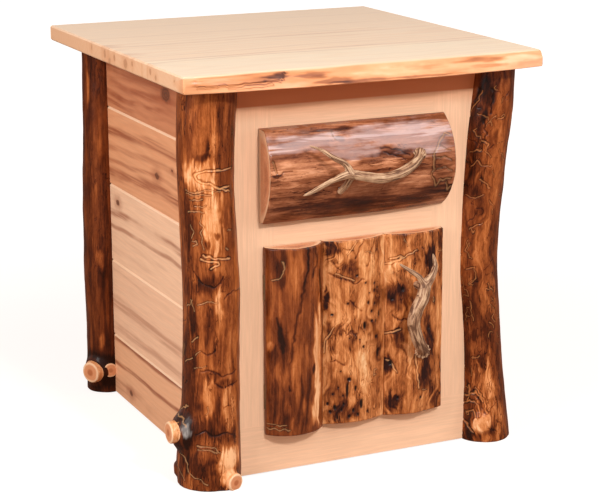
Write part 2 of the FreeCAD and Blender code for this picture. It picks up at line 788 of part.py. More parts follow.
pull_screw_depth = wall + size("drawer_log_depth") + size("pull_screw_bite")
drawer_front_places = [
    (side * box_inner * FRONT_SCREW_ACROSS_SHARE, front_back + wall, box_low + box_tall * share)
    for side in (-1, 1) for share in FRONT_SCREW_UP_SHARES]
front_screw_length = wall + screw_bite
pull_length = size("drawer_pull_length")
pull_height = drawer_sill + size("drawer_pull_lift")
drawer_pull_places = pull_screw_places(
    (DRAWER_BEAM_SHARES[:2], DRAWER_PEG_SHARES[:-3:-1]), pull_length, pull_height,
    front_back + wall)
box_front = padded("drawer_box_front_blank", "YZ", grooved(wall), box_inner * 2,
                   (-box_inner, front_back, box_low))
keep("drawer_box_front", cut("drawer_box_front", box_front,
                             screw_holes("drawer_front", drawer_front_places, "-Y",
                                         front_screw_length, screw_radius)
                             + screw_holes("drawer_pull", drawer_pull_places, "-Y",
                                           pull_screw_depth, screw_radius)))
keep("drawer_back", box("drawer_back", (-box_inner, box_inner), (drawer_rear - wall, drawer_rear),
                        (bottom_high, box_high)))
keep("drawer_bottom", box("drawer_bottom", (-box_inner - groove, box_inner + groove),
                          (front_back + wall - groove, drawer_rear), (bottom_low, bottom_high)))
keep("drawer_front_screws", wood_screws("drawer_front_screws", drawer_front_places, "-Y",
                                        front_screw_length))
keep("drawer_pull_screws", wood_screws("drawer_pull_screws", drawer_pull_places, "-Y",
                                       pull_screw_depth))


# Half logs: a flat back, square edges and a rounded face, lofted from end to end
def half_log(low, high, start, length, edge, depth, back, shares, upright):
    """A half log lying along X, or standing along Z when upright."""
    low, high, start, length, edge, depth, back = [
        number_of(item) for item in (low, high, start, length, edge, depth, back)]
    rings = []
    for share, swell, low_share, high_share in shares:
        level = start + length * share

        def spot(across, out):
            if upright:
                return Vector(across, back - out, level)
            return Vector(level, back - out, across)

        low_corner = spot(low, edge * low_share)
        high_corner = spot(high, edge * high_share)
        face = Part.Arc(low_corner, spot((low + high) / 2, depth * swell), high_corner)
        rings.append(Part.Wire([
            Part.makeLine(spot(low, 0), low_corner), face.toShape(),
            Part.makeLine(high_corner, spot(high, 0)),
            Part.makeLine(spot(high, 0), spot(low, 0))]))
    return Part.makeLoft(rings, True, False)


drawer_front_low = drawer_sill - size("drawer_front_overlay")
drawer_front_left = -(size("drawer_front_width") / 2) - size("drawer_front_offset")
drawer_log = half_log(drawer_front_low, drawer_front_low + size("drawer_front_height"),
                      drawer_front_left, size("drawer_front_width"), size("drawer_log_edge"),
                      size("drawer_log_depth"), front_back, DRAWER_LOG_SHARES, False)
whole_drawer_log = drawer_log.copy()
for point in drawer_front_places:
    drawer_log = drawer_log.cut(solid_hole(screw_radius, front_screw_length, point, "-Y"))
for point in drawer_pull_places:
    drawer_log = drawer_log.cut(solid_hole(screw_radius, pull_screw_depth, point, "-Y"))
keep("drawer_log_front", feature("drawer_log_front", drawer_log))


# The door
door_left = size("door_offset") - size("door_width") / 2
door_right = door_left + size("door_width")
door_low = door_sill - size("door_low_overlay")
door_high = door_lintel + size("door_high_overlay")
first_seam = door_left + size("left_log_width")
second_seam = first_seam + size("middle_log_width")
log_centres = [(door_left + first_seam) / 2, (first_seam + second_seam) / 2,
               (second_seam + door_right) / 2]
batten_back = front_back + size("batten_thickness")
batten_levels = [door_sill + size("batten_inset"),
                 door_lintel - size("batten_inset") - size("batten_height")]
batten_x = (-opening_half + size("batten_margin"), opening_half - size("batten_margin"))
batten_screw_places = [[(centre, batten_back, level + size("batten_height") / 2)
                        for centre in log_centres] for level in batten_levels]
all_batten_places = batten_screw_places[0] + batten_screw_places[1]
batten_screw_length = size("batten_thickness") + screw_bite
door_pull_length = size("door_pull_length")
door_pull_height = (door_low + door_high) / 2
# The heads of the door pull's screws are sunk flush into the back of the right log
door_pull_places = pull_screw_places((DOOR_BEAM_SHARES[:2], DOOR_PEG_SHARES[:-3:-1]),
                                     door_pull_length, door_pull_height,
                                     front_back - screw_head_height)
door_pull_depth = size("right_log_depth") + size("pull_screw_bite") - screw_head_height

hinge_x = door_left + size("hinge_edge_distance")
hinge_radius = size("hinge_radius")
hinge_y = frame_front - size("hinge_frame_gap") - hinge_radius
hinge_long = size("hinge_length")
hinge_levels = [door_low + size("hinge_inset"), door_high - size("hinge_inset") - hinge_long]
hinge_room = size("hinge_knuckle_gap")
leaf_thick = size("hinge_leaf_thickness")
leaf_root = hinge_x + hinge_radius + hinge_room
leaf_tip = hinge_x + size("hinge_leaf_width")


def door_log(name, low, high):
    """One upright half log, holed for the screws of the battens behind it."""
    rise = size(name + "_log_rise")
    log = half_log(low, high, door_low + rise, door_high - door_low - rise, size("door_log_edge"),
                   size(name + "_log_depth"), front_back, DOOR_LOG_SHARES, True)
    for point in all_batten_places:
        log = log.cut(solid_hole(screw_radius, batten_screw_length, point, "-Y"))
    return log


def block(xs, ys, zs):
    low = vector_of(xs[0], ys[0], zs[0])
    high = vector_of(xs[1], ys[1], zs[1])
    return Part.makeBox(high.x - low.x, high.y - low.y, high.z - low.z, low)


# The left log is notched for the knuckles and mortised for the door leaves
left_log = door_log("left", door_left, first_seam)
for level in hinge_levels:
    room_z = (level - hinge_room, level + hinge_long + hinge_room)
    left_log = left_log.cut(block((door_left - hinge_radius, leaf_root),
                                  (hinge_y - hinge_radius - hinge_room, frame_front), room_z))
    left_log = left_log.cut(block((leaf_root - hinge_room, leaf_tip),
                                  (front_back - leaf_thick, frame_front),
                                  (level, level + hinge_long)))
keep("door_log_left", feature("door_log_left", left_log))
keep("door_log_middle", feature("door_log_middle", door_log("middle", first_seam, second_seam)))
right_log = door_log("right", second_seam, door_right)
whole_right_log = right_log.copy()
for point in door_pull_places:
    right_log = right_log.cut(solid_hole(screw_radius, door_pull_depth, point, "-Y"))
    right_log = right_log.cut(solid_hole(screw_head_radius, screw_head_height, point, "+Y"))
keep("door_log_right", feature("door_log_right", right_log))
keep("door_pull_screws", wood_screws("door_pull_screws", door_pull_places, "-Y",
                                     door_pull_depth))
for name, level, points in zip(("door_batten_low", "door_batten_high"), batten_levels,
                               batten_screw_places):
    bar = box(name + "_blank", batten_x, (front_back, batten_back),
              (level, level + size("batten_height")))
    keep(name, cut(name, bar, screw_holes(name, points, "-Y", batten_screw_length,
                                          screw_radius)))
keep("batten_screws", wood_screws("batten_screws", all_batten_places, "-Y",
                                  batten_screw_length))

# Hinges: the frame leaf has the two outer knuckles, the door leaf the middle one
pin_radius = size("hinge_pin_radius")
frame_leaves = []
door_leaves = []
pins = []
for number, level in enumerate(hinge_levels, 1):
    label = "hinge_" + str(number)

    def knuckle(name, shares, leaf_y, bore):
        """One knuckle and the tab that ties it to its leaf, bored for the pin."""
        low = level + hinge_long * shares[0]
        high = level + hinge_long * shares[1]
        barrel = cylinder(name + "_barrel", hinge_radius, high - low, (hinge_x, hinge_y, low), "+Z")
        tab = box(name + "_tab", (hinge_x, leaf_root), leaf_y, (low, high))
        hole = cylinder(name + "_bore", bore, high - low, (hinge_x, hinge_y, low), "+Z")
        return cut(name, fuse(name + "_solid", [barrel, tab]), [hole])

    frame_y_leaf = (frame_front - leaf_thick, frame_front)
    door_y_leaf = (front_back - leaf_thick, front_back)
    level_z = (level, level + hinge_long)
    frame_leaves.append(fuse(label + "_frame_leaf", [
        box(label + "_frame_plate", (leaf_root, leaf_tip), frame_y_leaf, level_z),
        knuckle(label + "_low_knuckle", KNUCKLE_SHARES[0], frame_y_leaf, pin_radius),
        knuckle(label + "_high_knuckle", KNUCKLE_SHARES[2], frame_y_leaf, pin_radius)]))
    door_leaves.append(fuse(label + "_door_leaf", [
        box(label + "_door_plate", (leaf_root, leaf_tip), door_y_leaf, level_z),
        knuckle(label + "_middle_knuckle", KNUCKLE_SHARES[1], door_y_leaf,
                pin_radius + size("hinge_pin_clearance"))]))
    pins.append(cylinder(label + "_pin", pin_radius, hinge_long, (hinge_x, hinge_y, level), "+Z"))
keep("hinge_frame_leaves", group("hinge_frame_leaves", frame_leaves))
keep("hinge_door_leaves", group("hinge_door_leaves", door_leaves))
keep("hinge_pins", group("hinge_pins", pins))

# The catch hangs under the middle rail, and its strike lies on the back of the right log
catch_x = (opening_half - size("catch_inset") - size("catch_length"),
           opening_half - size("catch_inset"))
strike_back = front_back + size("strike_thickness")
strike_margin = size("strike_margin")
keep("catch_magnet", box("catch_magnet", catch_x,
                         (strike_back + size("strike_gap"),
                          strike_back + size("strike_gap") + size("catch_depth")),
                         (door_lintel - size("catch_height"), door_lintel)))
keep("catch_strike", box("catch_strike", (catch_x[0] + strike_margin, catch_x[1] - strike_margin),
                         (front_back, strike_back),
                         (door_lintel - size("catch_height"), door_lintel)))


# The antler pulls
def antler_path(shares, middle_height, length, radius, wood, reach):
    """Points and radii along one branch of an antler."""
    points = []
    radii = []
    room = reach - radius - wood
    for across, up, out, swell in shares:
        points.append(Vector(length * across, number_of(frame_front) - wood - room * out,
                             middle_height + length * up))
        radii.append(radius * swell)
    return points, radii


def between(spot, spots, values):
    """The value at a spot along a rising row of spots, in a straight line between two of them."""
    for index in range(1, len(spots)):
        if spot <= spots[index] or index == len(spots) - 1:
            share = (spot - spots[index - 1]) / (spots[index] - spots[index - 1])
            return values[index - 1] + (values[index] - values[index - 1]) * share


def branch(points, radii):
    """A tapering round branch, lofted through even rings that stand square to a smooth curve."""
    curve = Part.BSplineCurve()
    curve.interpolate(points)
    stations = [curve.parameter(point) for point in points]
    rings = []
    side = Vector(0, 0, 1)
    for point in curve.discretize(len(points) * RINGS_PER_POINT):
        parameter = curve.parameter(point)
        radius = between(parameter, stations, radii)
        tangent = curve.tangent(parameter)[0]
        side = (side - tangent * side.dot(tangent)).normalize()
        up = side.cross(tangent).normalize()
        ring = Part.Arc(point + side * radius, point + up * radius, point - side * radius)
        back = Part.Arc(point - side * radius, point - up * radius, point + side * radius)
        rings.append(Part.Wire([ring.toShape(), back.toShape()]))
    return Part.makeLoft(rings, True, False)


def antler(name, families, middle_height, length, radius, burr, wood, reach, log, screws, depth):
    """Beam, tine and peg in one piece, with a burr, seated on the log that it is screwed to."""
    values = [number_of(item) for item in (middle_height, length, radius, wood, reach)]
    middle_value, length_value, radius_value, wood_value, reach_value = values
    pieces = []
    for shares in families:
        points, radii = antler_path(shares, middle_value, length_value, radius_value,
                                    wood_value, reach_value)
        pieces.append(branch(points, radii))
    points, radii = antler_path(families[0], middle_value, length_value, radius_value,
                                wood_value, reach_value)
    outward = (points[1] - points[0]).normalize()
    sunk = points[0] - outward * number_of(size("burr_sink"))
    pieces.append(Part.makeCone(number_of(burr), radii[1], number_of(size("burr_length")), sunk,
                                outward))
    whole = pieces[0]
    for piece in pieces[1:]:
        whole = whole.fuse(piece)
    whole = whole.cut(log)
    whole = max(whole.Solids, key=lambda solid: solid.Volume)
    for point in screws:
        whole = whole.cut(solid_hole(screw_radius, depth, point, "-Y"))
    return keep(name, feature(name, whole))


drawer_wood = front_gap + size("drawer_log_depth")
antler("drawer_pull", (DRAWER_BEAM_SHARES, DRAWER_TINE_SHARES, DRAWER_PEG_SHARES), pull_height,
       pull_length, size("drawer_pull_radius"), size("drawer_burr_radius"), drawer_wood,
       size("drawer_pull_reach"), whole_drawer_log, drawer_pull_places, pull_screw_depth)
door_wood = front_gap + size("right_log_depth")
antler("door_pull", (DOOR_BEAM_SHARES, DOOR_TINE_SHARES, DOOR_PEG_SHARES), door_pull_height,
       door_pull_length, size("door_pull_radius"), size("door_burr_radius"), door_wood,
       size("door_pull_reach"), whole_right_log, door_pull_places, door_pull_depth)


# Check the document and write one file for each sub-part
doc.recompute()
for thing in doc.Objects:
    if "Invalid" in thing.State or "Error" in thing.State:
        raise RuntimeError(thing.Name + " did not compute: " + str(thing.State))
os.makedirs("parts", exist_ok=True)
whole_box = FreeCAD.BoundBox()
for node, thing in parts.items():
    shape = thing.Shape
    if shape.isNull() or not shape.isValid() or not shape.Solids:
        raise RuntimeError(node + " has no valid solid")
    whole_box.add(shape.BoundBox)
    shape.exportStep("parts/" + node + ".step")
print(len(parts), "sub-parts", whole_box)
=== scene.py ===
"""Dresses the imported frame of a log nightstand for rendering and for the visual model.

Everything is in metres in the frame's own axes: +Z is up, the front faces -Y, and -X is the left
side seen from the front. Each class below holds one part of the object: it makes the pieces that
replace plain solids, and gives the solids that stay their finishes.
"""

import logging
import math
from dataclasses import dataclass, field, replace
from enum import Enum
from typing import Sequence

import bpy
import numpy as np
from mathutils import Euler, Matrix, Vector


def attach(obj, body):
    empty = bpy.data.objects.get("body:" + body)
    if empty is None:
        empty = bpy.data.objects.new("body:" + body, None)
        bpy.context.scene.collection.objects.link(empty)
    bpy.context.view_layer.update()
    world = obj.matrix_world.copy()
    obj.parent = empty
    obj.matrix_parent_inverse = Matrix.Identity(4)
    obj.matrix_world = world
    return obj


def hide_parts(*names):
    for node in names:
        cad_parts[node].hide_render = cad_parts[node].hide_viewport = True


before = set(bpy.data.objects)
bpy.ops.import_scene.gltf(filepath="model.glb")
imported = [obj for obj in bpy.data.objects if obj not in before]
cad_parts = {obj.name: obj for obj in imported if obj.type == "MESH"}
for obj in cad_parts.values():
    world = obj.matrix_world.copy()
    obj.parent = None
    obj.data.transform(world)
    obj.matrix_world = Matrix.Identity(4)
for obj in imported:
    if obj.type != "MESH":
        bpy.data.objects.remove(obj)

log = logging.getLogger("nightstand")

MM = 0.001
Colour = tuple[float, float, float]
Array = np.ndarray
Socket = bpy.types.NodeSocket
Value = float | Sequence[float] | Socket
Tint = Colour | Socket
Row = tuple[float, ...]

# Refractive index of the lacquer on the wood
LACQUER = 1.45

# Levels, half widths and planes of the cabinet that many pieces share, in metres. The half logs
# of the drawer and the door have their flat backs at FRONT_BACK.
UNDERSIDE = 0.634
TOP_LEVEL = 0.660
HALF_BOX = 0.240
HALF_TOP = 0.310
FRAME_FRONT = -0.245
BOX_BACK = 0.266
FRONT_BACK = -0.247
TOP_FRONT = -0.301
# The posts' height in millimetres, which is what the logs and their marks are written in
HEIGHT = UNDERSIDE / MM


def tint(red: int, green: int, blue: int) -> Colour:
    """Turns a given colour into the linear values that shaders use.

    Args:
        red, green, blue: display values from 0 to 255.

    Returns:
        The colour.
    """
    values = np.array([red, green, blue]) / 255.0
    linear = np.where(values <= 0.04045, values / 12.92, ((values + 0.055) / 1.055) ** 2.4)
    return tuple(float(v) for v in linear)


# Numeric fields: noise and smooth steps over whole arrays


def smoothstep(low: float, high: float, values: Array) -> Array:
    """0 below low, 1 above high, and the cubic 3t^2 - 2t^3 between them."""
    t = np.clip((values - low) / (high - low), 0.0, 1.0)
    return t * t * (3.0 - 2.0 * t)


def hashed(cells: Array, seed: int) -> Array:
    """Gives each whole-number cell its own number: products of the indices, mixed by shifts.

    Args:
        cells: whole numbers in an array whose last axis holds x, y and z.
        seed: the number that tells one field from another.

    Returns:
        Numbers from 0 to 1.
    """
    n = (cells[..., 0] * 374761393 + cells[..., 1] * 668265263 + cells[..., 2] * 1274126177
         + seed * 974634777) & 0xFFFFFFFF
    n = ((n ^ (n >> 13)) * 1103515245) & 0xFFFFFFFF
    n = ((n ^ (n >> 15)) * 668265263) & 0xFFFFFFFF
    return ((n ^ (n >> 16)) & 0xFFFFFF) / float(0xFFFFFF)


def value_noise(points: Array, seed: int) -> Array:
    """Smooth noise: hashed corner values, blended by smooth weights along each axis.

    Args:
        points: places in an array whose last axis holds x, y and z, with cells one unit wide.
        seed: the number that tells one field from another.

    Returns:
        Values from -1 to 1.
    """
    base = np.floor(points)
    part = points - base
    part = part * part * (3.0 - 2.0 * part)
    cells = base.astype(np.int64)
    total = np.zeros(points.shape[:-1])
    for corner in range(8):
        step = np.array([corner & 1, corner >> 1 & 1, corner >> 2 & 1])
        weight = np.prod(np.where(step == 1, part, 1.0 - part), axis=-1)
        total += weight * hashed(cells + step, seed)
    return total * 2.0 - 1.0


def layered_noise(points: Array, seed: int, layers: int) -> Array:
    """A sum of noise layers, each of twice the frequency and about half the height of the last.

    Args:
        points: places, as for value_noise.
        seed: the number that tells one field from another.
        layers: how many layers are summed.

    Returns:
        Values that stay about from -1 to 1.
    """
    total = np.zeros(points.shape[:-1])
    height = 0.5
    for layer in range(layers):
        total += height * value_noise(points * 2.0 ** layer, seed + 17 * layer)
        height *= 0.55
    return total


def quarter_round(share: Array) -> Array:
    """What a quarter circle takes off an edge: 1 where the share is 0, and 0 from share 1 on."""
    return 1.0 - np.sqrt(np.clip(1.0 - (1.0 - np.clip(share, 0, 1)) ** 2, 0, 1))


def unit(vectors: Array) -> Array:
    """Vectors divided by their lengths."""
    return vectors / np.maximum(np.linalg.norm(vectors, axis=-1, keepdims=True), 1e-9)


def circle(angle: Array, side: Array, up: Array) -> Array:
    """Unit vectors round a circle: one direction times the cosine, plus another times the sine."""
    return np.cos(angle)[:, None] * side + np.sin(angle)[:, None] * up


def spline_through(stations: Array, values: Array, places: Array) -> Array:
    """A smooth curve through values at stations: cubic pieces whose slopes are central differences.

    Args:
        stations: rising positions, one for each value.
        values: an array of rows, one for each station.
        places: where the curve is wanted.

    Returns:
        One row for each place.
    """
    slopes = np.gradient(values, stations, axis=0)
    index = np.clip(np.searchsorted(stations, places, side="right") - 1, 0, len(stations) - 2)
    width = stations[index + 1] - stations[index]
    t = (places - stations[index]) / width
    shape = (-1,) + (1,) * (values.ndim - 1)
    t, width = t.reshape(shape), width.reshape(shape)
    return ((2 * t ** 3 - 3 * t ** 2 + 1) * values[index]
            + (t ** 3 - 2 * t ** 2 + t) * width * slopes[index]
            + (-2 * t ** 3 + 3 * t ** 2) * values[index + 1]
            + (t ** 3 - t ** 2) * width * slopes[index + 1])


def distance_to_path(points: Array, path: Array) -> Array:
    """The distance to a broken line: the least of the distances to its straight stretches.

    Args:
        points: rows of places.
        path: rows of corners, in the same plane or space.

    Returns:
        One distance for each point.
    """
    best = np.full(points.shape[0], np.inf)
    for start, end in zip(path[:-1], path[1:]):
        run = end - start
        along = np.clip(((points - start) @ run) / max(float(run @ run), 1e-12), 0.0, 1.0)
        best = np.minimum(best, np.linalg.norm(points - start - along[:, None] * run, axis=1))
    return best


# Meshes


@dataclass
class Shell:
    """One closed surface: its points, its faces and the fields painted on its points."""

    points: Array
    faces: list[list[int]]
    paint: dict[str, Array]


def ring_faces(rows: int, columns: int) -> Array:
    """Lays four-cornered faces between neighbouring rings, which wrap round.

    Args:
        rows: how many rings there are.
        columns: how many points a ring has.

    Returns:
        Four point numbers to a face.
    """
    j = np.arange(columns)
    i = np.arange(rows - 1)[:, None]
    following = (j + 1) % columns
    faces = np.stack([i * columns + j, i * columns + following,
                      (i + 1) * columns + following, (i + 1) * columns + j], axis=-1)
    return faces.reshape(-1, 4)


def capped_tube(rows: Array, paint: dict[str, Array] | None = None,
                hubs: tuple[Array, Array] | None = None) -> Shell:
    """A tube of closed rings, shut by a fan at either end.

    Args:
        rows: points of shape (rows, columns, 3) in millimetres, each row anticlockwise seen from
            the far end.
        paint: fields of shape (rows, columns).
        hubs: the middles of the two fans, or None for the middle of each end ring.

    Returns:
        The shell, in metres, whose last two points are the hubs.
    """
    count, columns = rows.shape[:2]
    hubs = hubs or (rows[0].mean(axis=0), rows[-1].mean(axis=0))
    points = np.concatenate([rows.reshape(-1, 3), np.array([hubs[0], hubs[1]])])
    j = np.arange(columns)
    following = (j + 1) % columns
    first, last = count * columns, count * columns + 1
    end = (count - 1) * columns
    low = np.stack([following, j, np.full(columns, first)], axis=1)
    high = np.stack([end + j, end + following, np.full(columns, last)], axis=1)
    faces = [*ring_faces(count, columns).tolist(), *low.tolist(), *high.tolist()]
    fields = {name: np.concatenate([value.reshape(-1), [value[0].mean(), value[-1].mean()]])
              for name, value in (paint or {}).items()}
    return Shell(points * MM, faces, fields)


def paint_on(mesh: bpy.types.Mesh, name: str, values: Array) -> None:
    """Puts a field on a mesh's points."""
    layer = mesh.attributes.new(name, "FLOAT", "POINT")
    layer.data.foreach_set("value", values.astype(np.float32))


def piece_from(name: str, shells: Sequence[Shell], sharp_angle: float) -> bpy.types.Object:
    """Makes one object of one or more shells.

    Args:
        name: the object's name.
        shells: its surfaces, all painted with the same fields.
        sharp_angle: the angle in degrees above which an edge stays sharp.

    Returns:
        The object, in the scene.
    """
    mesh = bpy.data.meshes.new(name)
    faces: list[list[int]] = []
    start = 0
    for shell in shells:
        faces.extend([index + start for index in face] for face in shell.faces)
        start += len(shell.points)
    mesh.from_pydata(np.concatenate([shell.points for shell in shells]).tolist(), [], faces)
    for key in shells[0].paint:
        paint_on(mesh, key, np.concatenate([shell.paint[key] for shell in shells]))
    mesh.shade_smooth()
    mesh.set_sharp_from_angle(angle=math.radians(sharp_angle))
    piece = bpy.data.objects.new(name, mesh)
    bpy.context.scene.collection.objects.link(piece)
    return piece


def stand_in(piece: bpy.types.Object, finish: bpy.types.Material, body: str, node: str) -> None:
    """Dresses a piece and lets it stand for its solid.

    Args:
        piece: the new piece.
        finish: its material.
        body: the body that it rides on.
        node: the solid that it replaces.
    """
    piece.data.materials.append(finish)
    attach(piece, body)
    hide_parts(node)
    log.info("%s: %d faces", piece.name, len(piece.data.polygons))


# Shaders


class Nodes:
    """A short way to write one shader or node group."""

    def __init__(self, tree: bpy.types.NodeTree) -> None:
        """Keeps the tree that the nodes go into."""
        self.tree = tree

    def add(self, kind: str, inputs: dict | None = None, **settings: object) -> bpy.types.Node:
        """Adds one node.

        Args:
            kind: the node's type.
            inputs: plain values or sockets for its inputs, by name or number.
            settings: values for its own properties.

        Returns:
            The node.
        """
        node = self.tree.nodes.new(kind)
        for key, value in settings.items():
            setattr(node, key, value)
        for key, value in (inputs or {}).items():
            socket = node.inputs[key]
            if isinstance(value, Socket):
                self.tree.links.new(value, socket)
            elif socket.type == "RGBA" and len(value) == 3:
                socket.default_value = (*value, 1.0)
            else:
                socket.default_value = value
        return node

    def group(self, tree: bpy.types.NodeTree, **inputs: Value) -> bpy.types.NodeOutputs:
        """The outputs of a shared group, given values for its inputs."""
        return self.add("ShaderNodeGroup", inputs, node_tree=tree).outputs

    def place(self) -> Socket:
        """The place on the piece, in Object coordinates."""
        return self.add("ShaderNodeTexCoord").outputs["Object"]

    def math(self, operation: str, a: Value, b: Value = 0.0, c: Value = 0.0,
             clamp: bool = False) -> Socket:
        """The result of one operation on up to three values."""
        return self.add("ShaderNodeMath", {0: a, 1: b, 2: c}, operation=operation,
                        use_clamp=clamp).outputs[0]

    def plus(self, a: Value, b: Value) -> Socket:
        """The sum of two values."""
        return self.math("ADD", a, b)

    def times(self, a: Value, b: Value) -> Socket:
        """The product of two values."""
        return self.math("MULTIPLY", a, b)

    def swing(self, noise: Socket, share: float) -> Socket:
        """How far a noise lies from one half, times a share."""
        return self.times(self.math("SUBTRACT", noise, 0.5), share)

    def swayed(self, value: Socket, noise: Socket, share: Value) -> Socket:
        """A value moved by a share of how far a noise lies from one half."""
        return self.math("MULTIPLY_ADD", self.math("SUBTRACT", noise, 0.5), share, value)

    def wave(self, value: Socket, frequency: float) -> Socket:
        """A sine wave of the value, from 0 to 1."""
        return self.math("MULTIPLY_ADD", self.math("SINE", self.times(value, frequency)), 0.5, 0.5)

    def span(self, value: Socket, low: float, high: float, to_low: float = 0.0,
             to_high: float = 1.0) -> Socket:
        """Carries a value smoothly from one span to another.

        Args:
            value: what is carried.
            low, high: the span that it comes from.
            to_low, to_high: the span that it goes to.

        Returns:
            The value in the second span.
        """
        return self.add("ShaderNodeMapRange", {
            "Value": value, "From Min": low, "From Max": high, "To Min": to_low,
            "To Max": to_high}, interpolation_type="SMOOTHSTEP").outputs["Result"]

    def mix(self, factor: Value, a: Tint, b: Tint, blend: str = "MIX") -> Socket:
        """Two colours mixed by a factor."""
        return self.add("ShaderNodeMix", {0: factor, 6: a, 7: b}, data_type="RGBA",
                        blend_type=blend).outputs[2]

    def laid(self, under: Tint, over: Tint, mask: Socket, share: Value) -> Socket:
        """A colour laid over another where a mask shows, at a share of full strength."""
        return self.mix(self.times(mask, share), under, over)

    def ramp(self, factor: Socket, stops: Sequence[tuple[float, Colour]]) -> Socket:
        """Reads a colour off a row of stops.

        Args:
            factor: the place on the row, from 0 to 1.
            stops: rising places with their colours.

        Returns:
            The colour.
        """
        node = self.add("ShaderNodeValToRGB", {"Fac": factor})
        elements = node.color_ramp.elements
        while len(elements) < len(stops):
            elements.new(0.5)
        for element, (place, colour) in zip(elements, stops):
            element.position = place
            element.color = (*colour, 1.0)
        return node.outputs["Color"]

    def moved(self, vector: Socket, scale: Sequence[float] = (1, 1, 1),
              turn: Sequence[float] = (0, 0, 0), shift: Sequence[float] = (0, 0, 0)) -> Socket:
        """Stretches, turns and shifts a vector.

        Args:
            vector: what is moved.
            scale, turn, shift: the stretch, the angles and the shift along each axis.

        Returns:
            The moved vector.
        """
        return self.add("ShaderNodeMapping", {
            "Vector": vector, "Scale": tuple(scale), "Rotation": tuple(turn),
            "Location": tuple(shift)}).outputs["Vector"]

    def noise(self, vector: Socket, scale: float, detail: float = 3.0, rough: float = 0.5,
              distortion: float = 0.0) -> Socket:
        """Adds a noise texture.

        Args:
            vector: the place that it is read at.
            scale: cells to a metre.
            detail, rough: how many finer layers it has and how strong they are.
            distortion: how far it is swirled.

        Returns:
            Its brightness.
        """
        return self.add("ShaderNodeTexNoise", {
            "Vector": vector, "Scale": scale, "Detail": detail, "Roughness": rough,
            "Distortion": distortion}).outputs["Fac"]

    def drawn_out(self, vector: Socket, scale: Sequence[float], detail: float = 3.0,
                  rough: float = 0.5, distortion: float = 0.0,
                  shift: Sequence[float] = (0, 0, 0)) -> Socket:
        """Noise with a scale of its own along each axis, so that it makes streaks."""
        return self.noise(self.moved(vector, scale, shift=shift), 1.0, detail, rough, distortion)

    def painted(self, name: str) -> Socket:
        """The value of a field painted on the piece's points."""
        return self.add("ShaderNodeAttribute", attribute_name=name).outputs["Fac"]

    def split(self, vector: Socket) -> tuple[Socket, Socket, Socket]:
        """The three parts of a vector."""
        return tuple(self.add("ShaderNodeSeparateXYZ", {"Vector": vector}).outputs)

    def bump(self, height: Socket, strength: float, distance: float) -> Socket:
        """A normal tilted by a height."""
        return self.add("ShaderNodeBump", {"Height": height, "Strength": strength,
                                           "Distance": distance}).outputs["Normal"]

    def between(self, operation: str, *vectors: Socket) -> bpy.types.NodeOutputs:
        """The outputs of an operation on vectors."""
        return self.add("ShaderNodeVectorMath", dict(enumerate(vectors)),
                        operation=operation).outputs

    def give(self, **outputs: Socket) -> bpy.types.NodeTree:
        """Closes a node group.

        Args:
            outputs: the values that it puts out, by the names of its output sockets.

        Returns:
            The group.
        """
        for label in outputs:
            self.tree.interface.new_socket(label, in_out="OUTPUT", socket_type="NodeSocketFloat")
        self.add("NodeGroupOutput", outputs)
        return self.tree


def new_group(name: str, **inputs: str) -> tuple[Nodes, bpy.types.NodeOutputs]:
    """Opens a node group.

    Args:
        name: the group's name.
        inputs: the kinds of its input sockets, by name.

    Returns:
        A writer for the group, and the sockets that bring its inputs.
    """
    tree = bpy.data.node_groups.new(name, "ShaderNodeTree")
    for label, kind in inputs.items():
        tree.interface.new_socket(label, in_out="INPUT", socket_type="NodeSocket" + kind)
    writer = Nodes(tree)
    return writer, writer.add("NodeGroupInput").outputs


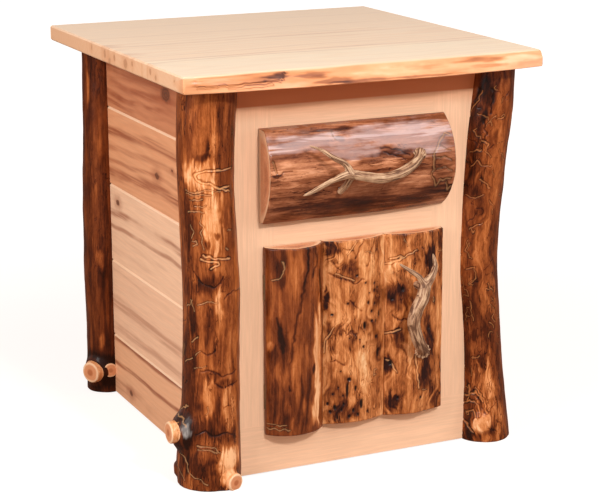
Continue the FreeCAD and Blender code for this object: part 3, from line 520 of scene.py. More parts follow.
class Effects:
    """The node groups that more than one material uses, each built once."""

    def __init__(self) -> None:
        """Builds the groups."""
        self.grain = self.build_grain()
        self.knot = self.build_knot()
        self.log_grain = self.build_log_grain()

    @staticmethod
    def build_grain() -> bpy.types.NodeTree:
        """Sawn boards: growth rings round a far axis along X, broad streaks and fine pores.

        Returns:
            The group.
        """
        n, source = new_group("sawn_grain", Vector="Vector", Spacing="Float", Waviness="Float")
        vector = source["Vector"]
        sway = n.drawn_out(vector, (2.2, 9.0, 9.0), 2.0)
        sway_up = n.drawn_out(vector, (2.2, 9.0, 9.0), 2.0, shift=(7.0, 3.0, 5.0))
        _, y, z = n.split(vector)
        across = n.swayed(y, sway, source["Waviness"])
        up = n.swayed(z, sway_up, source["Waviness"])
        radius = n.math("SQRT", n.plus(n.times(across, across), n.times(up, up)))
        phase = n.math("DIVIDE", radius, source["Spacing"])
        ring = n.math("POWER", n.wave(phase, 2.0 * math.pi), 2.0)
        fine = n.drawn_out(vector, (18.0, 420.0, 420.0), 3.0, 0.6)
        return n.give(Ring=ring, Streak=n.drawn_out(vector, (1.6, 16.0, 16.0), 5.0, 0.6, 0.6),
                      Fine=fine, Height=n.plus(n.times(ring, 0.35), n.times(fine, 0.65)))

    @staticmethod
    def build_knot() -> bpy.types.NodeTree:
        """A knot: a dark core, rings round it and a warm halo, drawn out along the grain in X.

        Returns:
            The group.
        """
        n, source = new_group("knot", Vector="Vector", Centre="Vector", Radius="Float")
        cloud = n.add("ShaderNodeTexNoise", {"Vector": source["Vector"], "Scale": 70.0})
        sway = 0.010
        away = n.between("SUBTRACT", source["Vector"], source["Centre"])[0]
        bent = n.between("ADD", n.moved(away, (0.62, 1.0, 1.0)), n.moved(
            cloud.outputs["Color"], (sway,) * 3, shift=(-sway / 2,) * 3))[0]
        share = n.math("DIVIDE", n.between("LENGTH", bent)["Value"], source["Radius"])
        return n.give(Core=n.span(share, 0.55, 1.05, 1.0, 0.0), Ring=n.wave(share, 19.0),
                      Halo=n.span(share, 0.9, 3.4, 1.0, 0.0))

    @staticmethod
    def build_log_grain() -> bpy.types.NodeTree:
        """Peeled log: broad and fine streaks along Z, small flecks and thin broken veins.

        A vein follows the places where a smooth noise passes through its middle value.

        Returns:
            The group.
        """
        n, source = new_group("peeled_grain", Vector="Vector")
        vector = source["Vector"]
        broad = n.drawn_out(vector, (62.0, 62.0, 5.0), 5.0, 0.62, 0.5)
        fibre = n.span(n.drawn_out(vector, (74.0, 74.0, 3.4), 4.0, 0.55, 0.9), 0.475, 0.525)
        field = n.drawn_out(vector, (90.0, 90.0, 11.0), 4.0, 0.6, 1.0)
        vein = n.span(n.math("ABSOLUTE", n.math("SUBTRACT", field, 0.5)), 0.004, 0.022, 1.0, 0.0)
        where = n.span(n.drawn_out(vector, (24.0, 24.0, 9.0), 2.0), 0.46, 0.54)
        return n.give(Streak=n.math("MULTIPLY_ADD", fibre, 0.34, n.times(broad, 0.66)),
                      Fine=n.drawn_out(vector, (380.0, 380.0, 26.0), 3.0, 0.6),
                      Fleck=n.drawn_out(vector, (210.0, 210.0, 70.0), 5.0, 0.75, 1.4),
                      Vein=n.times(vein, where))


class Grain(Enum):
    """Which way the grain of a board runs, as the turn that lays it along X."""

    ALONG_X = (0.0, 0.0, 0.0)
    ALONG_Y = (0.0, 0.0, -math.pi / 2)
    ALONG_Z = (0.0, math.pi / 2, 0.0)


def shader(name: str) -> tuple[bpy.types.Material, Nodes, bpy.types.Node]:
    """Starts a new material.

    Args:
        name: the material's name.

    Returns:
        The material, its writer and its surface shader.
    """
    material = bpy.data.materials.new(name)
    material.use_nodes = True
    return material, Nodes(material.node_tree), material.node_tree.nodes["Principled BSDF"]


def joined(material: bpy.types.Material, surface: bpy.types.Node, links: dict[str, Socket],
           plain: dict[str, float]) -> bpy.types.Material:
    """Links sockets and sets plain values on a surface shader.

    Args:
        material: what the shader belongs to.
        surface: the shader.
        links: sockets that change over the surface, by the shader's inputs.
        plain: values that are the same all over it, by the shader's inputs.

    Returns:
        The material.
    """
    for key, socket in links.items():
        material.node_tree.links.new(socket, surface.inputs[key])
    for key, value in plain.items():
        surface.inputs[key].default_value = value
    return material


@dataclass(frozen=True)
class PineFinish:
    """A lacquered or bare pine board.

    Knots are places and radii in metres. Bands are levels across the grain, half widths and
    strengths, and bands_across is the axis that counts as across once the grain lies along X.
    Above a given level the board has a painted shadow, a dark band with a crisp edge, and a
    lighter painted shade lies just below that level.
    """

    name: str
    grain: Grain
    pale: Colour
    warm: Colour
    streak: Colour
    streak_share: float
    streak_from: float
    pith: tuple[float, float, float]
    spacing: float
    waviness: float
    ring_share: float
    knots: tuple[tuple[float, float, float, float], ...] = ()
    bands: tuple[tuple[float, float, float], ...] = ()
    bands_across: int = 2
    painted_bevel_highlight: bool = False
    painted_shadow_from: float = TOP_LEVEL
    roughness: float = 0.42
    coat: float = 0.14
    live_edge: bool = False

    def build(self, effects: Effects) -> bpy.types.Material:
        """Makes the material: rings and streaks tint the pale wood, and knots sit on top.

        Args:
            effects: the shared node groups.

        Returns:
            The material.
        """
        material, n, surface = shader(self.name)
        place = n.place()
        turned = n.moved(place, turn=self.grain.value)
        grain = n.group(effects.grain, Vector=n.moved(turned, shift=self.pith),
                        Spacing=self.spacing, Waviness=self.waviness)
        colour = n.laid(self.pale, self.warm, grain["Ring"], self.ring_share)
        streak = n.span(grain["Streak"], self.streak_from, self.streak_from + 0.16)
        colour = n.laid(colour, self.streak, streak, self.streak_share)
        if self.bands:
            colour = self.banded(n, turned, colour)
        pores = n.span(grain["Fine"], 0.35, 0.75, 0.93, 1.04)
        grey = n.add("ShaderNodeCombineColor", {0: pores, 1: pores, 2: pores}).outputs[0]
        colour = n.mix(1.0, colour, grey, "MULTIPLY")
        for *middle, radius in self.knots:
            knot = n.group(effects.knot, Vector=turned, Radius=radius,
                           Centre=Euler(self.grain.value).to_matrix() @ Vector(middle))
            colour = n.laid(colour, self.streak, knot["Halo"], 0.4)
            colour = n.laid(colour, n.mix(knot["Ring"], tint(74, 36, 20), tint(116, 60, 34)),
                            knot["Core"], 0.85)
        facing = n.add("ShaderNodeNewGeometry").outputs["Normal"]
        sawn = n.math("ABSOLUTE", n.split(n.moved(facing, turn=self.grain.value))[0])
        colour = n.mix(n.span(sawn, 0.6, 0.8, 0.0, 0.6), colour, tint(232, 168, 124))
        # Painted shadow of the top's overhang, from the given level up
        if self.painted_shadow_from < TOP_LEVEL:
            colour = self.painted_shadow(n, n.split(place)[2], colour)
        # Painted highlight: faces that look up, such as the bevel under each seam, are made paler
        # as if lit from above
        if self.painted_bevel_highlight:
            colour = n.mix(n.span(n.split(facing)[2], 0.3, 0.6, 0.0, 0.8), colour,
                           tint(252, 216, 180))
        if self.live_edge:
            bark = n.ramp(n.plus(n.painted("tone"), n.swing(grain["Streak"], 0.9)), (
                (0.0, tint(86, 44, 28)), (0.22, tint(150, 86, 54)), (0.48, tint(208, 134, 86)),
                (0.72, tint(234, 168, 122)), (1.0, tint(246, 206, 168))))
            colour = n.mix(n.painted("edge"), colour, bark)
        return joined(material, surface, {
            "Base Color": colour, "Normal": n.bump(grain["Height"], 0.16, 0.0006),
            "Roughness": n.span(grain["Fine"], 0.2, 0.8, self.roughness - 0.06,
                                self.roughness + 0.08)},
            {"Coat Weight": self.coat, "Coat Roughness": 0.22, "IOR": LACQUER,
             "Specular IOR Level": 0.28})

    def banded(self, n: Nodes, turned: Socket, colour: Socket) -> Socket:
        """Brown bands at given places across the grain, wandering a little, in fine streaks.

        Args:
            n: the material's writer.
            turned: the place, with the grain along X.
            colour: the wood without bands.

        Returns:
            The wood with bands.
        """
        sway = n.drawn_out(turned, (3.6, 3.0, 3.0), 2.0, shift=self.pith)
        bent = n.swayed(n.split(turned)[self.bands_across], sway, 0.034)
        broken = n.times(
            n.span(n.drawn_out(turned, (4.0, 40.0, 150.0), 4.0, 0.65), 0.34, 0.56, 0.3, 1.0),
            n.span(n.drawn_out(turned, (5.0, 9.0, 14.0)), 0.36, 0.50, 0.15, 1.0))
        for middle, half, strength in self.bands:
            away = n.math("ABSOLUTE", n.math("SUBTRACT", bent, middle))
            band = n.times(n.span(away, 0.25 * half, half, 1.0, 0.0), broken)
            colour = n.laid(colour, self.streak, band, strength)
        return colour

    def painted_shadow(self, n: Nodes, level: Socket, colour: Socket) -> Socket:
        """The top's painted shadow: a crisp dark band above a level, soft painted shade below it.

        Args:
            n: the material's writer.
            level: the height above the floor.
            colour: the wood without the painted shadow.

        Returns:
            The wood with the painted shadow.
        """
        edge, soft, crisp = self.painted_shadow_from, 0.026, 0.003
        # Painted shade below the level, then the crisp painted shadow of the top above it
        colour = n.mix(n.span(level, edge - soft, edge, 0.0, 0.50), colour, tint(214, 138, 92))
        return n.mix(n.span(level, edge, edge + crisp, 0.0, 0.86), colour, tint(198, 104, 52))


@dataclass(frozen=True)
class LogFinish:
    """A peeled log with stain and lacquer, whose tone is painted on its points.

    Contrast, hair, fleck and vein say how far streaks, fine lines, flecks and dark veins move
    the tone, and the last colour is that of the painted highlight, a pale sheen that stands in
    for a reflection.
    """

    name: str
    stops: tuple[tuple[float, Colour], ...] = (
        (0.00, tint(36, 13, 5)), (0.20, tint(78, 32, 12)), (0.40, tint(124, 60, 26)),
        (0.58, tint(170, 94, 46)), (0.76, tint(212, 136, 82)), (1.00, tint(248, 190, 140)))
    groove: Colour = tint(242, 178, 120)
    lying: bool = False
    contrast: float = 0.28
    hair: float = 0.30
    fleck: float = 0.42
    vein: float = 0.26
    roughness: float = 0.36
    coat: float = 0.10
    highlight_colour: Colour = tint(190, 172, 170)

    def build(self, effects: Effects) -> bpy.types.Material:
        """Makes the material: tone and streaks pick the stain, grooves show paler wood.

        Args:
            effects: the shared node groups.

        Returns:
            The material.
        """
        material, n, surface = shader(self.name)
        turn = (Grain.ALONG_Z if self.lying else Grain.ALONG_X).value
        grain = n.group(effects.log_grain, Vector=n.moved(n.place(), turn=turn))
        tone = n.plus(n.plus(n.painted("tone"), n.swing(grain["Streak"], self.contrast)),
                      n.plus(n.swing(grain["Fine"], self.hair),
                             n.swing(grain["Fleck"], self.fleck)))
        tone = n.math("MULTIPLY_ADD", grain["Vein"], -self.vein, tone, clamp=True)
        # Painted highlight: a pale sheen laid over the stain where its painted field shows, broken
        # by the streaks, in place of a reflection
        colour = n.laid(n.ramp(tone, self.stops), self.highlight_colour, n.painted("painted_highlight"),
                        n.span(grain["Streak"], 0.34, 0.60, 0.55, 0.95))
        colour = n.laid(colour, self.groove, n.painted("groove"), 0.58)
        colour = n.mix(n.painted("pit"), colour, tint(22, 10, 8))
        colour = n.mix(n.painted("bare"), colour, self.cut_face(n))
        height = n.plus(n.times(grain["Streak"], 0.5), n.times(grain["Fine"], 0.3))
        height = n.math("MULTIPLY_ADD", grain["Vein"], -0.3, height)
        return joined(material, surface, {
            "Base Color": colour, "Normal": n.bump(height, 0.35, 0.0012),
            "Roughness": n.span(grain["Fleck"], 0.3, 0.7, self.roughness - 0.08,
                                self.roughness + 0.12)},
            {"Coat Weight": self.coat, "Coat Roughness": 0.14, "IOR": LACQUER,
             "Specular IOR Level": 0.1})

    @staticmethod
    def cut_face(n: Nodes) -> Socket:
        """The sawn end: waves of growth rings, a darker heart and a pale rim.

        Args:
            n: the material's writer.

        Returns:
            The colour.
        """
        rings = n.painted("ring")
        cut = n.laid(tint(222, 150, 106), tint(192, 114, 70), n.wave(rings, 38.0), 0.30)
        cut = n.laid(cut, tint(170, 92, 52), n.span(rings, 0.20, 0.46, 1.0, 0.0), 0.75)
        return n.mix(n.span(rings, 0.70, 0.92), cut, tint(244, 200, 160))


@dataclass(frozen=True)
class AntlerFinish:
    """Shed antler: pale ridges, brown furrows along it and a pale, beaded burr."""

    name: str
    roughness: float = 0.55

    def build(self) -> bpy.types.Material:
        """Makes the material: furrows follow the painted way along and round each branch.

        Returns:
            The material.
        """
        material, n, surface = shader(self.name)
        way = n.add("ShaderNodeCombineXYZ", {0: n.painted("around"), 1: n.painted("around_too"),
                                             2: n.painted("along")}).outputs[0]
        furrow = n.drawn_out(way, (3.2, 3.2, 22.0), 4.0, 0.6, 0.4)
        blotch = n.noise(n.place(), 60.0, 3.0, 0.6)
        dirt = n.plus(n.span(furrow, 0.40, 0.66, 0.0, 0.8), n.swing(blotch, 0.9))
        tone = n.math("ADD", dirt, n.painted("tone"), clamp=True)
        colour = n.ramp(tone, ((0.0, tint(206, 172, 140)), (0.35, tint(200, 164, 130)),
                               (0.7, tint(150, 108, 78)), (1.0, tint(96, 62, 42))))
        height = n.plus(n.times(furrow, -0.8), n.times(blotch, 0.3))
        return joined(material, surface, {
            "Base Color": colour, "Normal": n.bump(height, 0.5, 0.0012),
            "Roughness": n.span(furrow, 0.3, 0.7, self.roughness - 0.1, self.roughness + 0.15)},
            {"IOR": 1.5, "Specular IOR Level": 0.3})


@dataclass(frozen=True)
class MetalFinish:
    """Plated steel with faint brushing and dull patches."""

    name: str
    colour: Colour
    roughness: float = 0.34

    def build(self) -> bpy.types.Material:
        """Makes the material: brushing along Y in roughness and bump, patches in the colour.

        Returns:
            The material.
        """
        material, n, surface = shader(self.name)
        place = n.place()
        brush = n.drawn_out(place, (900.0, 30.0, 900.0))
        patch = n.noise(place, 40.0, 4.0)
        dull = tuple(v * 0.72 for v in self.colour)
        rough = n.plus(n.span(patch, 0.3, 0.7, self.roughness - 0.06, self.roughness + 0.1),
                       n.times(brush, 0.08))
        return joined(material, surface, {
            "Base Color": n.mix(n.span(patch, 0.4, 0.65), self.colour, dull),
            "Roughness": rough, "Normal": n.bump(brush, 0.12, 0.0002)}, {"Metallic": 1.0})


@dataclass(frozen=True)
class PlasticFinish:
    """Moulded plastic with a fine grain."""

    name: str
    colour: Colour

    def build(self) -> bpy.types.Material:
        """Makes the material: a fine speckle in the bump and a little change in the colour.

        Returns:
            The material.
        """
        material, n, surface = shader(self.name)
        place = n.place()
        worn = n.noise(place, 55.0, 3.0)
        paler = tuple(min(1.0, v * 1.35 + 0.01) for v in self.colour)
        return joined(material, surface, {
            "Base Color": n.mix(n.span(worn, 0.45, 0.7), self.colour, paler),
            "Roughness": n.span(worn, 0.3, 0.7, 0.42, 0.58),
            "Normal": n.bump(n.noise(place, 900.0, 2.0), 0.15, 0.0002)}, {"IOR": 1.46})


# Marks on the logs


@dataclass(frozen=True)
class Gallery:
    """A line that a beetle has cut: places across and along, its width, depth and paleness."""

    path: Array
    width: float
    depth: float
    pale: float


def lines(width: float, depth: float, *paths: tuple[float, ...],
          pale: float = 1.0) -> tuple[Gallery, ...]:
    """Lines from rows that give the places across and along of each corner in turn."""
    return tuple(Gallery(np.reshape(path, (-1, 2)), width, depth, pale) for path in paths)


@dataclass
class Marks:
    """Everything that is drawn on one log, in millimetres across and along its face.

    Base and restless are the tone's middle and how far noise moves it, swirl says how far the
    grain bends round knots, and scribbles is a number of short random lines. Patches and the
    painted highlight, a pale sheen that stands in for a reflection, are rows of place across and
    along, half sizes and strength, and pits are rows of place and half sizes. Around is the way
    round a whole log, or None on a flat-backed one.
    """

    seed: int
    base: float
    restless: float
    patches: Sequence[Row]
    painted_highlight: Sequence[Row] = ()
    pits: Sequence[Row] = ()
    galleries: Sequence[Gallery] = ()
    scribbles: int = 0
    swirl: float = 0.0
    around: float | None = None

    def scribbled(self, spread: tuple[float, float], tall: tuple[float, float]) -> list[Gallery]:
        """Draws short wandering lines at seeded places, each a few joined strokes.

        Args:
            spread: the stretch across the face that they start in.
            tall: the stretch along the log that they start in.

        Returns:
            The lines, every other one pale.
        """
        draw = np.random.default_rng(self.seed)
        result = []
        for index in range(self.scribbles):
            path = [np.array([draw.uniform(*spread), draw.uniform(*tall)])]
            heading = draw.uniform(0.0, 2.0 * math.pi)
            for _ in range(draw.integers(2, 6)):
                heading += draw.normal(0.0, 0.9)
                path.append(path[-1] + draw.uniform(2.5, 7.0)
                            * np.array([math.cos(heading), math.sin(heading)]))
            result.append(Gallery(np.array(path), float(draw.uniform(0.6, 1.1)), 0.5,
                                  0.6 * (index % 2)))
        return result

    def gap(self, across: Array, place: float) -> Array:
        """Measures the way across from a place, the short way round on a whole log.

        Args:
            across: places across the face.
            place: where the way is measured from.

        Returns:
            The way to each place.
        """
        if not self.around:
            return across - place
        return (across - place + self.around / 2) % self.around - self.around / 2

    def cloud(self, across: Array, level: Array, size: tuple[float, float], cut: float,
              number: int, layers: int) -> Array:
        """Noise over the face.

        Args:
            across: places across the face.
            level: places along the log.
            size: the noise's grain across and along.
            cut: where the face cuts through the noise, as a multiple of the seed.
            number: what tells this noise from the others on the log.
            layers: how many layers it has.

        Returns:
            The noise at each place.
        """
        wide, tall = size
        plane = np.stack([across / wide, level / tall, np.full_like(across, self.seed * cut)],
                         axis=1)
        return layered_noise(plane, self.seed + number, layers)

    def fields(self, across: Array, level: Array, galleries: Sequence[Gallery]) -> dict[str, Array]:
        """Works out tone, grooves, pits, cuts and painted highlight at each place.

        Tone is a base, plus streaky noise, plus each patch: its strength times a step from 1
        inside to 0 outside, whose edges are bent by noise and frayed along the grain. A groove
        fades from 1 on a line to 0 at its width, and a dark rim of painted shade follows it, on the
        line itself where the groove is not pale. Noise shifts the places first, so that straight
        strokes waver.

        Args:
            across: places across the face.
            level: places along the log.
            galleries: the lines that are drawn.

        Returns:
            The fields by name.
        """
        a, l = across.ravel(), level.ravel()
        turned = a + self.swirl * self.cloud(a, l, (30.0, 36.0), 0.9, 21, 3)
        bend = self.cloud(a, l, (26.0, 34.0), 1.3, 5, 4)
        bend_too = self.cloud(turned, l, (5.0, 46.0), 2.1, 9, 4)
        frayed = self.cloud(turned, l, (2.4, 40.0), 1.9, 17, 3)
        waver = 4.8 * np.stack([self.cloud(a, l, (6.5, 6.5), 0.7, number, 1)
                                for number in (13, 14)], axis=1)
        tone = self.base + self.restless * self.cloud(turned, l, (9.0, 46.0), 3.7, 0, 4) * 1.6
        painted_highlight, groove, cut, pit = (np.zeros_like(a) for _ in range(4))

        def laid(middle: float, height: float, wide: float, tall: float, strength: float) -> Array:
            """Lays one patch.

            Args:
                middle, height: the patch's place across and along.
                wide, tall: its half sizes.
                strength: its value inside, which falls to 0 outside.

            Returns:
                The value at each place.
            """
            x = self.gap(a, middle) / wide + bend * 0.8
            y = (l - height) / tall * 0.85 + bend_too * 0.9
            return strength * (1.0 - smoothstep(0.50, 1.20,
                                                np.sqrt(x * x + y * y) + 0.45 * frayed))

        for row in self.patches:
            tone += laid(*row)
        # Painted highlight, laid like the patches
        for row in self.painted_highlight:
            painted_highlight = np.maximum(painted_highlight, laid(*row))
        margin = 6.0
        for line in galleries:
            low, high = line.path[:, 1].min() - margin, line.path[:, 1].max() + margin
            centre = line.path[:, 0].mean()
            x = self.gap(a, centre)
            near = np.nonzero((np.abs(x) < np.ptp(line.path[:, 0]) + margin) & (l > low)
                              & (l < high))[0]
            if len(near) == 0:
                continue
            spot = np.stack([x[near] + centre, l[near]], axis=1)
            distance = distance_to_path(spot + waver[near], line.path)
            depth = 1.0 - smoothstep(line.width * 0.35, line.width * 1.25, distance)
            groove[near] = np.maximum(groove[near], depth * line.pale)
            cut[near] = np.maximum(cut[near], depth * line.depth)
            # Painted shade: darker tone along a rim beside each groove, on the line itself where
            # the groove is not pale
            rim = np.exp(-((distance - line.width * 1.75 * line.pale) / (line.width * 0.7)) ** 2)
            tone[near] -= (0.34 * line.pale + 0.30 * (1.0 - line.pale)) * rim
        for middle, height, wide, tall in self.pits:
            x = self.gap(a, middle) / wide
            y = (l - height) / tall
            share = np.sqrt(x * x + y * y) + 0.25 * bend
            depth = 1.0 - smoothstep(0.6, 1.15, share)
            pit = np.maximum(pit, depth)
            cut = np.maximum(cut, depth * 1.6)
            tone -= 0.2 * np.exp(-(share / 2.2) ** 2)
        return {key: value.reshape(across.shape) for key, value in
                (("tone", tone), ("groove", groove), ("pit", pit), ("painted_highlight", painted_highlight),
                 ("cut", cut))}


def padded(fields: dict[str, Array], before: int, after: int, tone: float) -> dict[str, Array]:
    """Adds plain columns beside a log's painted face.

    Args:
        fields: what Marks.fields gives.
        before: how many columns are added on the left.
        after: how many are added on the right.
        tone: the stain of those columns.

    Returns:
        All the fields that the logs' material reads.
    """
    rows = len(fields["tone"])
    paint = {}
    for key in ("tone", "groove", "pit", "painted_highlight"):
        fill = tone if key == "tone" else 0.0
        paint[key] = np.concatenate([np.full((rows, before), fill), fields[key],
                                     np.full((rows, after), fill)], axis=1)
    shape = paint["tone"].shape
    return paint | {"bare": np.zeros(shape), "ring": np.ones(shape)}


@dataclass(frozen=True)
class Stub:
    """A sawn branch, in millimetres.

    It has a heading in degrees, a level and a slope, a reach from the log's middle, a radius at
    the foot and at the cut face, and the height of the collar that the log swells to round it.
    Fresh says how much of the cut face is bare wood.
    """

    heading: float
    level: float
    lift: float
    reach: float
    radius: float
    face: float
    collar: float = 9.0
    fresh: float = 1.0

    @property
    def axis(self) -> Array:
        """The unit direction in which it points."""
        heading = math.radians(self.heading)
        return unit(np.array([math.cos(heading), math.sin(heading), self.lift]))


@dataclass
class Post:
    """One corner log, in millimetres: its place, its wander and swelling, its stubs and marks.

    Side and end are -1 or 1 for left or right and front or back. Each row of levels holds a
    share of the height, the wander to the side and back as shares of the radius, and the
    swelling. Focus is the share of the way round where the columns stand closest.
    """

    node: str
    side: int
    end: int
    radius: float
    centre: tuple[float, float]
    levels: Sequence[tuple[float, float, float, float]]
    stubs: Sequence[Stub]
    marks: Marks
    rows: int = 540
    columns: int = 165
    focus: float = 0.5
    galleries: list[Gallery] = field(init=False)

    # Columns on the two hidden walls of the notch that the box stands in, and their stain
    walls = 9
    wall_tone = 0.4

    def at_levels(self, columns: slice | int, level: Array) -> Array:
        """A smooth curve through one or more columns of the table of levels."""
        table = np.array(self.levels, float)
        return spline_through(table[:, 0] * HEIGHT, table[:, columns], level)

    def radius_at(self, angle: Array, level: Array) -> tuple[Array, dict[str, Array]]:
        """Works out the log's radius and the fields at each angle and level.

        The radius is the swelling one, plus long and short waves of noise on a cylinder, plus a
        collar that rises towards each stub, minus the cut lines, and is drawn in at the foot.

        Args:
            angle: places round the log, in radians.
            level: heights above the floor.

        Returns:
            The radius and the painted fields.
        """
        swell = self.radius * self.at_levels(3, level.ravel()).reshape(level.shape)
        spot = np.stack([np.cos(angle) * self.radius, np.sin(angle) * self.radius, level], axis=-1)
        seed = self.marks.seed
        long_wave = layered_noise(spot / np.array([34.0, 34.0, 95.0]), seed + 40, 3)
        short_wave = layered_noise(spot / np.array([10.0, 10.0, 24.0]), seed + 50, 3)
        around = np.degrees(angle) % 360.0 * self.radius * math.pi / 180.0
        fields = self.marks.fields(around, level, self.galleries)
        result = swell + 2.2 * long_wave + 0.55 * short_wave - fields["cut"]
        flat = np.stack([np.cos(angle) * swell, np.sin(angle) * swell, level], axis=-1)
        for stub in self.stubs:
            offset = flat - np.array([0.0, 0.0, stub.level])
            out = offset @ stub.axis
            away = np.linalg.norm(offset - out[..., None] * stub.axis, axis=-1)
            rise = 1.0 - smoothstep(stub.radius * 0.75, stub.radius + 1.9 * stub.collar, away)
            result += np.where(out > 0, stub.collar * rise ** 1.6, 0.0)
            mottle = np.exp(-((away - stub.radius - 5.0) / 9.0) ** 2) * (out > 0)
            fields["tone"] = fields["tone"] - 0.22 * mottle
        return result - 2.6 * quarter_round(level / 3.0), fields

    def trunk(self) -> Shell:
        """Makes the log with its notch.

        Each row runs round the outside from one wall of the notch to the other, then along the
        two walls by way of the box's corner. The outside is the radius as a function of angle and
        level about a centre that wanders with the level. The angles of the two walls are found in
        a few rounds, each of which puts the radius of the last round on the wall.

        Returns:
            The log without its stubs.
        """
        level = np.unique(np.concatenate([np.linspace(0.0, HEIGHT, self.rows), [0.4, 0.9, 2.0]]))
        middle = np.array(self.centre) + self.radius * self.at_levels(slice(1, 3), level)
        corner = np.array([self.side * HALF_BOX, FRAME_FRONT if self.end < 0 else BOX_BACK]) / MM
        reach = corner - middle
        notch = math.atan2(-self.end, -self.side)
        wall_x = np.full(len(level), math.atan2(-self.end, 0.1 * self.side))
        wall_y = np.full(len(level), math.atan2(0.1 * self.end, -self.side))
        for _ in range(6):
            r = self.radius_at(wall_x, level)[0]
            wall_x = np.arctan2(-self.end * np.sqrt(np.maximum(r ** 2 - reach[:, 0] ** 2, 1.0)),
                                reach[:, 0])
            r = self.radius_at(wall_y, level)[0]
            wall_y = np.arctan2(reach[:, 1],
                                -self.side * np.sqrt(np.maximum(r ** 2 - reach[:, 1] ** 2, 1.0)))
        turn = 2.0 * math.pi
        low, high = np.sort(np.stack([(wall_x - notch) % turn, (wall_y - notch) % turn]), axis=0)
        even = np.linspace(0.0, 1.0, self.columns)
        start = 0.5 - self.focus
        share = even + 0.35 * (np.sin(turn * (even + start)) - math.sin(turn * start)) / turn
        angle = notch + low[:, None] + (high - low)[:, None] * share
        height = np.broadcast_to(level[:, None], angle.shape)
        r, fields = self.radius_at(angle, height)
        outer = np.stack([middle[:, :1] + r * np.cos(angle), middle[:, 1:] + r * np.sin(angle),
                          height], axis=-1)
        bend = np.concatenate([np.broadcast_to(corner, (len(level), 2)), level[:, None]], axis=1)
        first, last, bend = outer[:, :1], outer[:, -1:], bend[:, None]
        steps = np.arange(1, 5)[:, None]
        rows = np.concatenate([outer, last + (bend - last) * steps / 5, bend,
                               bend + (first - bend) * steps / 5], axis=1)
        hub = corner + np.array([self.side, self.end]) * 12.0
        shell = capped_tube(rows, padded(fields, 0, self.walls, self.wall_tone),
                            (np.array([*hub, 0.0]), np.array([*hub, HEIGHT])))
        shell.paint["bare"][-2:] = 1.0
        return shell

    def branch(self, stub: Stub, number: int) -> Shell:
        """Makes a sawn branch: a round profile carried along its axis.

        The profile flares at the foot, where it leaves the log, and ends in a rounded rim and a
        slightly crowned face. Noise roughens the bark, and the face keeps its own rings.

        Args:
            stub: the branch.
            number: its place among the post's stubs, which picks its noise.

        Returns:
            The branch.
        """
        start = stub.reach * 0.35
        face = np.array([-1.6, -0.6, -0.1, 0.0, 0.3, 0.5])
        face_radius = np.array([0.985, 0.955, 0.90, 0.80, 0.45, 0.2])
        along = np.array([start, *np.linspace(stub.reach * 0.5, stub.reach - 3.0, 12),
                          *(stub.reach + face)])
        share = np.clip((along - start) / (stub.reach - start), 0.0, 1.0)
        radius = stub.radius + (stub.face - stub.radius) * share
        radius[-len(face):] *= face_radius
        side = unit(np.cross([0.0, 0.0, 1.0], stub.axis))
        angle = np.linspace(0.0, 2.0 * math.pi, 56, endpoint=False)
        spin = circle(angle, side, np.cross(stub.axis, side))
        line = np.array([*self.centre, stub.level]) + along[:, None, None] * stub.axis
        rough = layered_noise((line + radius[:, None, None] * spin) / 9.0,
                              self.marks.seed + 60 + number, 3)
        grow = 1.0 + 0.035 * rough * (1.0 - smoothstep(0.86, 1.0, share))[:, None]
        rows = line + (radius[:, None] * grow)[..., None] * spin
        rows[..., 2] = np.maximum(rows[..., 2], 0.0)
        zero = np.zeros_like(rough)
        bare = stub.fresh * smoothstep(stub.reach - 2.2, stub.reach - 0.7, along)
        shell = capped_tube(rows, {
            "tone": 0.46 + 0.25 * rough + 0.42 * smoothstep(0.30, 0.55, share)[:, None],
            "groove": zero, "pit": zero, "painted_highlight": zero, "bare": bare[:, None] + zero,
            "ring": (radius / stub.face)[:, None] * (1.0 + 0.12 * rough)})
        shell.paint["ring"][-2:] = 0.0
        return shell

    def build(self, finish: bpy.types.Material) -> None:
        """Makes the log, dresses it and lets it stand for its solid.

        Args:
            finish: the log's material.
        """
        self.marks.around = 2.0 * math.pi * self.radius
        self.galleries = [*self.marks.galleries,
                          *self.marks.scribbled((0.0, self.marks.around), (20.0, 600.0))]
        branches = [self.branch(stub, number) for number, stub in enumerate(self.stubs)]
        piece = piece_from(self.node + "_log", [self.trunk(), *branches], 55.0)
        stand_in(piece, finish, "cabinet", self.node)


